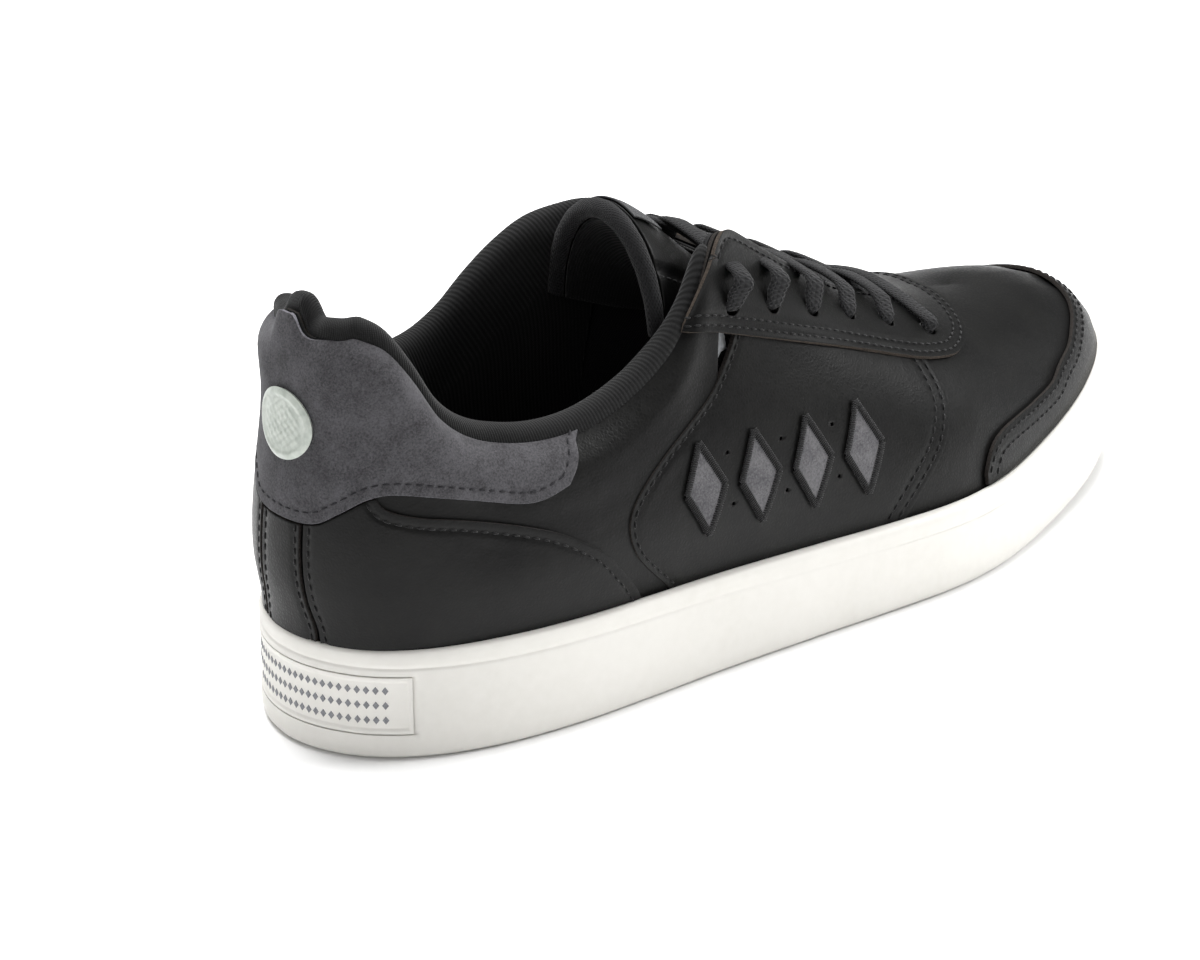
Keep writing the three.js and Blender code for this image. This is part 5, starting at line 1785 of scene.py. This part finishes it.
@dataclass
class Insole:
    """The lift-out sockliner: a foam bed with a jersey cover, cupped at the heel."""

    finishes: Finishes
    board_top_drop: float = 11.6
    foam: float = 3.6
    cover: float = 0.8
    inset: float = 5.2

    def slab(self, name: str, bottom: float, top: float, material: bpy.types.Material,
             rounding: float) -> bpy.types.Object:
        """A thin bed that follows the sole's outline.

        Args:
            name: The piece's name.
            bottom: Height of its underside over the board.
            top: Height of its face over the board.
            material: Its finish.
            rounding: Radius of its edge.

        Returns:
            The piece.
        """
        turns = np.linspace(0, math.pi / 2, 4)
        rows = [(0.0, bottom, 1.0), (2.0, bottom, 0), (0.0, bottom + 0.05, 0)]
        rows += [(rounding * (1 - math.cos(t)), top - rounding * (1 - math.sin(t)), 0)
                 for t in turns]
        rows += [(5, top, 0), (12, top, 0), (22, top, 0.0), (0.0, top, 1.0)]

        def shape(u: Array, w: Array) -> Array:
            """Rings from the middle of the underside out and back to the middle of the face."""
            girth = 2 * u
            row = np.rint(w * (len(rows) - 1)).astype(int)
            table = np.array(rows)
            inset, height, middle = table[row].T
            x = LAST.outline(girth)[:, 0]
            edge = mix(LAST.edge_heel, LAST.edge_side, ease(0, 45, x)) + self.inset
            flat = LAST.outline(girth) - (edge + inset)[:, None] * LAST.plan_normal(girth)
            centre = np.column_stack([np.clip(x, 34, 262), LAST.centre(x)])
            flat = np.where(middle[:, None] > 0, centre, flat)
            cup = 1.1 * (1 - ease(0, 14, inset)) * (middle == 0) * (height > bottom + 1e-6)
            board = LAST.rim(flat[:, 0]) - self.board_top_drop
            return np.column_stack([flat, board + height + cup])

        mesh = BENCH.grid(220, len(rows) - 1, shape, (690, 90), seams=0.01)
        bmesh.ops.recalc_face_normals(mesh, faces=mesh.faces[:])
        return BENCH.piece(name, mesh, [material])

    def build(self) -> None:
        """Makes the bed and its cover."""
        foam = self.slab("sockliner_foam", 0.1, self.foam, self.finishes.foam, 0.6)
        BENCH.dress(foam, "sockliner", "padding_foam", "sockliner_foam")
        low = self.foam + RIM_CLEAR
        cover = self.slab("sockliner_cover", low, low + self.cover, self.finishes.cover, 0.35)
        BENCH.dress(cover, "sockliner", "lining_fabric", "sockliner_cover")


# ---- Tongue --------------------------------------------------------------------------------------


@dataclass
class Tongue:
    """The padded tongue: leather face with airy side wings, foam, lining, knit binding, label."""

    finishes: Finishes
    root: float = 226.0
    top: float = 108.0
    end: float = 0.966
    foam: float = 3.4
    ply_gap: float = 0.5
    thin: float = 0.62              # share of the stack left at the bound edge
    ridge: Curve = through((108, 122.5), (116, 118.5), (128, 108.5), (140, 99), (155, 90.5),
                           (170, 82), (185, 74.2), (200, 66.6), (214, 60.8), (226, 56.6))
    wing: Curve = through((108, 88), (120, 83), (140, 76), (160, 70), (185, 60), (205, 54),
                          (226, 49))
    half: Curve = through((108, 22.5), (120, 22.5), (140, 23), (160, 24), (185, 24.5), (205, 22),
                          (226, 19))

    def point(self, along: Array, across: Array) -> Array:
        """A point of the tongue's middle face: along from root to top, across from -1 to 1."""
        x = mix(self.root, self.top, along)
        at = np.clip(x, self.top, self.root)
        turn = across * math.pi / 2 * 0.96
        low, high = self.wing(at), self.ridge(at)
        y = LAST.ridge_side(x) * 0.8 - ease(200, 110, x) + self.half(at) * np.sin(turn)
        return np.column_stack([x, y, low + (high - low) * np.cos(turn) + (at - x) * 0.5])

    def normal(self, along: Array, across: Array) -> Array:
        """The tongue's outward direction."""
        step = 0.01
        forward = self.point(along + step, across) - self.point(along - step, across)
        sideways = self.point(along, across + step) - self.point(along, across - step)
        made = np.cross(sideways, forward)
        return made / np.linalg.norm(made, axis=1, keepdims=True)

    def at_depth(self, along: Array, across: Array, depth) -> Array:
        """A point below the tongue's face."""
        return self.point(along, across) - self.normal(along, across) * np.reshape(depth, (-1, 1))

    def settled(self, along: Array, depth) -> Array:
        """A depth in the stack, pressed thinner towards the bound edge."""
        return depth * mix(1.0, self.thin, ease(0.8, 0.955, along))

    def puff(self, along: Array, across: Array) -> Array:
        """How far the padding lifts the face, with a seam channel beside each wing."""
        edge = 1 - np.abs(across) ** 6
        free = ease(0.72, 0.86, along)
        channel = np.exp(-((np.abs(across) - 0.6) / 0.035) ** 2) * ease(0.3, 0.45, along)
        yoke = np.exp(-((along - 0.80) / 0.012) ** 2) * (np.abs(across) < 0.6)
        return free * (0.9 * edge - 0.6 * channel - 0.7 * yoke) - 1.6 * (1 - edge) * free

    def sheet(self, name: str, face: Callable, span: float, reach: tuple[float, float],
              grid: tuple[int, int], material: bpy.types.Material) -> tuple:
        """A sheet of the tongue and its surface tree."""
        def shape(u: Array, w: Array) -> Array:
            """Points of the sheet."""
            along, across = mix(*reach, u), mix(-span, span, w)
            return self.at_depth(along, across, face(along, across))

        def outward(u: Array, w: Array) -> Array:
            """The tongue's outward direction."""
            return self.normal(mix(*reach, u), mix(-span, span, w))

        mesh = BENCH.grid(*grid, shape, (118, 60), outward)
        surface = BVHTree.FromBMesh(mesh)
        return BENCH.piece(name, mesh, [material]), surface

    def build(self) -> None:
        """Makes the tongue's pieces."""
        finishes = self.finishes
        outer, surface = self.sheet("tongue_outer", lambda a, c: -self.puff(a, c), 1.0,
                                    (0, self.end), (130, 90), finishes.tongue_leather)
        BENCH.thicken(outer, OVERLAY)
        BENCH.round_edges(outer, 0.3)
        holes = self.wing_holes()
        BENCH.punch(outer, holes)
        bpy.data.objects.remove(holes)
        BENCH.dress(outer, "tongue", "black_leather", "tongue_outer")
        thread = Stitching("tongue_stitching", pitch=2.6, stitch=1.9, thread=0.5)
        for side in Side:
            along = np.linspace(0.5, self.end, 50)
            across = np.full(50, 0.64 * side.value)
            thread.row(self.at_depth(along, across, -self.puff(along, across)), surface)
        BENCH.dress(thread.build(finishes.thread), "tongue", "lace_fabric")
        top = OVERLAY + self.ply_gap
        foam, _ = self.sheet("tongue_foam", lambda a, c: top - self.puff(a, c) * 0.6, 0.96,
                             (0.01, 0.86), (60, 40), finishes.foam)
        BENCH.thicken(foam, self.foam)
        BENCH.round_edges(foam, 0.9, 3)
        BENCH.dress(foam, "tongue", "padding_foam", "tongue_foam")
        deep = OVERLAY + 2 * 0.8 + self.foam
        lining, _ = self.sheet("tongue_lining", lambda a, c: self.settled(a, deep), 1.0,
                               (0, self.end), (80, 50), finishes.twill)
        BENCH.thicken(lining, SKIN)
        BENCH.dress(lining, "tongue", "lining_fabric", "tongue_lining")
        self.binding(deep + SKIN)
        label, _ = self.sheet("tongue_label", lambda a, c: -0.95 - self.puff(a, c), 0.24,
                              (0.885, 0.965), (20, 30), finishes.label)
        BENCH.thicken(label, 0.5)
        BENCH.round_edges(label, 0.12)
        BENCH.dress(label, "tongue", "label_fabric", "tongue_label")

    def wing_holes(self) -> bpy.types.Object:
        """Cutters for the rows of pinholes in the wings."""
        along, across = [], []
        for row, spread in enumerate((0.70, 0.79, 0.88)):
            for index in range(13):
                along.append(0.56 + 0.029 * (index + 0.5 * (row % 2)))
                across.append(spread)
        along, across = np.array(along * 2), np.array(across + [-a for a in across])
        return pegs("tongue_air_holes", self.point(along, across), self.normal(along, across),
                    0.42, 8.0, 8)

    def binding(self, stack: float) -> None:
        """The knit roll over the tongue's upper edge."""
        half_thick, half_long = self.thin * stack / 2 + 0.5, 0.018

        def shape(u: Array, w: Array) -> Array:
            """A rounded tube across the tongue."""
            across = mix(-1.0, 1.0, u)
            turn = 2 * math.pi * w
            along = 0.983 + half_long * np.sign(np.cos(turn)) * np.abs(np.cos(turn)) ** 0.8
            lump = 0.14 * np.sin(across * 33) * np.cos(turn)
            tuck = 1 - 0.25 * across ** 6
            depth = self.thin * stack / 2 + (half_thick + lump) * np.sin(turn) * tuck
            return self.at_depth(along, across, depth - 0.5 * (1 - across ** 4))

        mesh = BENCH.grid(120, 32, shape, (64, 26), seams=0.01)
        bmesh.ops.holes_fill(mesh, edges=[e for e in mesh.edges if e.is_boundary], sides=0)
        bmesh.ops.recalc_face_normals(mesh, faces=mesh.faces[:])
        piece = BENCH.piece("tongue_binding", mesh, [self.finishes.knit])
        BENCH.dress(piece, "tongue", "lining_fabric", "tongue_binding")


# ---- Lacing --------------------------------------------------------------------------------------


RIDGE_SLOPE = 0.35                  # how steeply the instep falls to the toes


@dataclass
class Lacing:
    """A flat braided lace: a bar across the toe end and crossed strands up to the collar."""

    finishes: Finishes
    eyelets: Eyelets
    width: float = LACE_WIDTH
    thickness: float = LACE_THICKNESS
    pinch: float = 3.4
    steps: int = 44
    over: float = OVERLAY + 0.6 + 1.0

    def ribbon(self, stations: list[dict], mesh: bmesh.types.BMesh) -> None:
        """Adds one strand to the lace's mesh.

        Args:
            stations: Point, upward direction and width of each station, in order.
            mesh: The lace's bmesh, which the strand joins.
        """
        curve = spline([s["at"] for s in stations], 12)
        path = even(curve, self.steps + 1)
        marks = lengths(curve)[::12] / lengths(curve)[-1]
        share = np.linspace(0, 1, self.steps + 1)
        along = np.gradient(path, axis=0)
        along /= np.linalg.norm(along, axis=1, keepdims=True)
        up = np.array([s["up"] for s in stations], float)
        up = np.stack([np.interp(share, marks, up[:, k]) for k in range(3)], -1)
        across = np.cross(along, up)
        across /= np.linalg.norm(across, axis=1, keepdims=True)
        over = np.cross(across, along)
        width = np.interp(share, marks, [s["width"] for s in stations])

        def shape(u: Array, w: Array) -> Array:
            """The strand's rounded section along its path."""
            at = u * self.steps
            turn = 2 * math.pi * w
            wide = np.sign(np.cos(turn)) * np.abs(np.cos(turn)) ** 0.55
            thick = np.sign(np.sin(turn)) * np.abs(np.sin(turn)) ** 0.75

            def pick(table: Array) -> Array:
                """A table's rows at each share."""
                marks_at = np.arange(self.steps + 1)
                if table.ndim == 1:
                    return np.interp(at, marks_at, table)
                return np.stack([np.interp(at, marks_at, table[:, k]) for k in range(3)], -1)

            crown = 0.18 * (1 - np.abs(wide) ** 2) * np.sign(thick)
            half = pick(width)[:, None] / 2
            return (pick(path) + pick(across) * half * wide[:, None]
                    + pick(over) * (thick * self.thickness / 2 + crown)[:, None])

        run = lengths(path)[-1]
        strand = BENCH.grid(self.steps, 20, shape, (run, 2 * self.width), seams=0.004)
        bmesh.ops.holes_fill(strand, edges=[e for e in strand.edges if e.is_boundary], sides=0)
        bmesh.ops.recalc_face_normals(strand, faces=strand.faces[:])
        data = bpy.data.meshes.new("strand")
        strand.to_mesh(data)
        strand.free()
        mesh.from_mesh(data)
        bpy.data.meshes.remove(data)

    def off(self, pair: int, side: Side, distance: float, inward: float = 0.0) -> Array:
        """A point off an eyelet, along its normal and in towards the throat."""
        at, normal = self.eyelets.points[pair][side], self.eyelets.normals[pair][side]
        return at + normal * distance + self.toward(pair, side) * inward

    def toward(self, pair: int, side: Side) -> Array:
        """The direction along the surface from an eyelet to the throat."""
        normal = self.eyelets.normals[pair][side]
        made = np.array([0.0, -side.value, 0.0]) + normal * side.value * normal[1]
        return made / np.linalg.norm(made)

    def strand(self, pair: int, start: Side, finish: Side, lift: float) -> list[dict]:
        """From under one side, over the tongue and down into the next hole of the other."""
        after = pair + 1
        entry, leave = self.eyelets.points[pair][start], self.eyelets.points[after][finish]
        x = (entry[0] + leave[0]) / 2
        middle = np.array([x, float(LAST.ridge_side(x)), float(LAST.ridge(x)) + 1.0 + lift])
        up = np.array([RIDGE_SLOPE, 0, 1.0]) / math.hypot(RIDGE_SLOPE, 1)
        n_in, n_out = self.eyelets.normals[pair][start], self.eyelets.normals[after][finish]
        dip = self.toward(after, finish)
        return [
            {"at": self.off(pair, start, 0.2), "up": self.toward(pair, start), "width": self.pinch},
            {"at": self.off(pair, start, -3.6, 1.6), "up": n_in, "width": self.pinch},
            {"at": self.off(pair, start, -3.0, 6.5), "up": n_in, "width": self.width},
            {"at": middle, "up": up, "width": self.width},
            {"at": self.off(after, finish, self.over + 1.0, 9.0), "up": n_out, "width": self.width},
            {"at": self.off(after, finish, self.over + 0.3, 3.0), "up": n_out,
             "width": self.width * 0.92},
            {"at": self.off(after, finish, self.over - 0.9, 0.2), "up": n_out - dip,
             "width": self.pinch * 1.5},
            {"at": self.off(after, finish, -2.4, -0.4), "up": -dip, "width": self.pinch},
        ]

    def front_bar(self) -> list[dict]:
        """Straight across the front pair of holes."""
        left, right = (self.eyelets.points[0][side] for side in Side)
        middle = (left + right) / 2
        middle[2] = float(LAST.ridge(middle[0])) + self.over + 0.6
        up = np.array([RIDGE_SLOPE, 0, 1.0]) / math.hypot(RIDGE_SLOPE, 1)
        made = []
        for side in Side:
            normal = self.eyelets.normals[0][side]
            leg = [
                {"at": self.off(0, side, -2.6, -0.4), "up": -self.toward(0, side),
                 "width": self.pinch},
                {"at": self.off(0, side, self.over - 0.9, 0.2),
                 "up": normal - self.toward(0, side), "width": self.pinch * 1.5},
                {"at": self.off(0, side, self.over + 0.5, 3.4), "up": normal,
                 "width": self.width * 0.92},
            ]
            made += leg if side is Side.LATERAL else leg[::-1]
            if side is Side.LATERAL:
                made.append({"at": middle, "up": up, "width": self.width})
        return made

    def build(self) -> None:
        """Makes the lace as one piece."""
        mesh = bmesh.new()
        self.ribbon(self.front_bar(), mesh)
        for pair in range(Eyelets.pairs - 1):
            self.ribbon(self.strand(pair, Side.MEDIAL, Side.LATERAL, 1.5), mesh)
            self.ribbon(self.strand(pair, Side.LATERAL, Side.MEDIAL, 0.0), mesh)
        piece = BENCH.piece("lace", mesh, [self.finishes.lace])
        BENCH.dress(piece, "shoe", "lace_fabric", "lace")


# ---- Trim, hidden pieces and the studio ----------------------------------------------------------


@dataclass
class Badge:
    """The round plastic badge on the heel tab, with a plain ring and a field of dimples."""

    finishes: Finishes
    radius: float = 9.5
    height: float = 90.0
    face: float = 3.1
    thickness: float = 1.1

    def build(self) -> None:
        """Makes the badge."""
        def shape(u: Array, w: Array) -> Array:
            """A disc on the heel's curve, ringed and dimpled."""
            turn, reach = 2 * math.pi * u, w * self.radius
            wanted = np.column_stack([HEEL_CENTRE + reach * np.cos(turn),
                                      self.height + reach * np.sin(turn)])
            at = LAST.locate(wanted, (1, 2), (-0.35, 0.35))
            ring = np.exp(-((reach - 8.0) / 0.5) ** 2) * 0.28
            edge = ease(self.radius - 0.8, self.radius, reach) * 0.5
            field = (1 - ease(6.4, 6.9, reach)) * 0.16
            waves = field * np.cos(wanted[:, 0] * 2.6) * np.cos(wanted[:, 1] * 2.6)
            lift = self.face + ring - edge + waves + collar_swell(at[:, 0], LAST.point(*at.T))
            return LAST.point(*at.T) + LAST.normal(*at.T) * lift[:, None]

        def outward(u: Array, w: Array) -> Array:
            """Away from the heel."""
            return np.column_stack([-np.ones(len(u)), np.zeros(len(u)), np.zeros(len(u))])

        mesh = BENCH.grid(72, 34, shape, (60, 10), outward, seams=0.01)
        piece = BENCH.piece("heel_badge", mesh, [self.finishes.badge])
        BENCH.thicken(piece, self.thickness)
        BENCH.round_edges(piece, 0.2)
        BENCH.dress(piece, "shoe", "badge_plastic", "heel_badge")


def repaint_hidden(finishes: Finishes) -> None:
    """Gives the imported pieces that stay, deep inside the shoe, their materials."""
    kept = {"midsole_foam": finishes.eva, "shank": finishes.plate, "strobel_board": finishes.board}
    for name, material in kept.items():
        slots = frame["nodes"][name].data.materials
        slots.clear()
        slots.append(material)


@dataclass
class Studio:
    """A white table top with large soft lights, and the camera."""

    azimuth: float = -42.315
    elevation: float = 24.526
    distance: float = 1.506
    aim: tuple = (-0.00005, 0.000467, 0.040)
    lens: float = 164.3
    shift: tuple = (-0.0948, -0.0328)

    def camera(self) -> None:
        """Places the camera."""
        turn, tilt = math.radians(self.azimuth), math.radians(self.elevation)
        back = Vector((math.sin(turn) * math.cos(tilt), -math.cos(turn) * math.cos(tilt),
                       math.sin(tilt)))
        data = bpy.data.cameras.new("camera")
        data.lens, data.sensor_width = self.lens, 36.0
        data.shift_x, data.shift_y = self.shift
        camera = bpy.data.objects.new("camera", data)
        camera.location = Vector(self.aim) + back * self.distance
        camera.rotation_mode = "QUATERNION"
        camera.rotation_quaternion = (-back).to_track_quat("-Z", "Y")
        bpy.context.scene.collection.objects.link(camera)
        bpy.context.scene.camera = camera

    def light(self, name: str, at: tuple, size: float, power: float) -> None:
        """Hangs a square soft light that faces the shoe."""
        data = bpy.data.lights.new(name, "AREA")
        data.shape, data.size, data.energy = "SQUARE", size, power
        made = bpy.data.objects.new(name, data)
        made.location = at
        made.rotation_mode = "QUATERNION"
        made.rotation_quaternion = (Vector((0, 0, 0.05)) - Vector(at)).to_track_quat("-Z", "Y")
        bpy.context.scene.collection.objects.link(made)

    def floor(self) -> None:
        """A wide pale table top, faintly uneven in its paint."""
        mesh = bmesh.new()
        bmesh.ops.create_grid(mesh, x_segments=8, y_segments=8, size=6.0)
        finish = Finish("matt_white_paint", 0.9, specular=0.1)
        finish.shade(finish.noise(400, 2), "#fbfbfb", "#ffffff", 0.3, 0.7)
        table = BENCH.piece("table_top", mesh, [finish.material])
        table.location = (0, 0, -0.0002)

    def build(self) -> None:
        """Sets up the floor, lights, sky and camera."""
        self.floor()
        self.light("overhead", (0.15, 0.4, 1.4), 1.1, 43.0)
        self.light("right", (1.3, -0.9, 1.15), 0.6, 21.0)
        self.light("left", (-1.5, -0.6, 0.8), 0.7, 2.5)
        world = bpy.data.worlds.new("sky")
        world.use_nodes = True
        world.node_tree.nodes["Background"].inputs["Color"].default_value = (1, 1, 1, 1)
        world.node_tree.nodes["Background"].inputs["Strength"].default_value = 0.29
        bpy.context.scene.world = world
        bpy.context.scene.view_settings.view_transform = "Standard"
        self.camera()


def main() -> None:
    """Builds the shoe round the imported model, piece by piece."""
    logging.basicConfig(level=logging.INFO, format="%(message)s")
    finishes = Finishes()
    Studio().build()
    upper = Upper(finishes)
    for side in Side:
        upper.rear_quarter(side)
        upper.quarter(side)
        upper.diamonds(side)
    upper.vamp()
    upper.eyestay()
    upper.toe_overlay()
    upper.heel_pieces()
    upper.stiffeners()
    upper.vamp_lining()
    bpy.data.objects.remove(upper.holes)
    Collar(finishes).build()
    Sole(finishes).build()
    Insole(finishes).build()
    Tongue(finishes).build()
    Lacing(finishes, upper.eyelets).build()
    Badge(finishes).build()
    repaint_hidden(finishes)


if __name__ == "__main__":
    main()
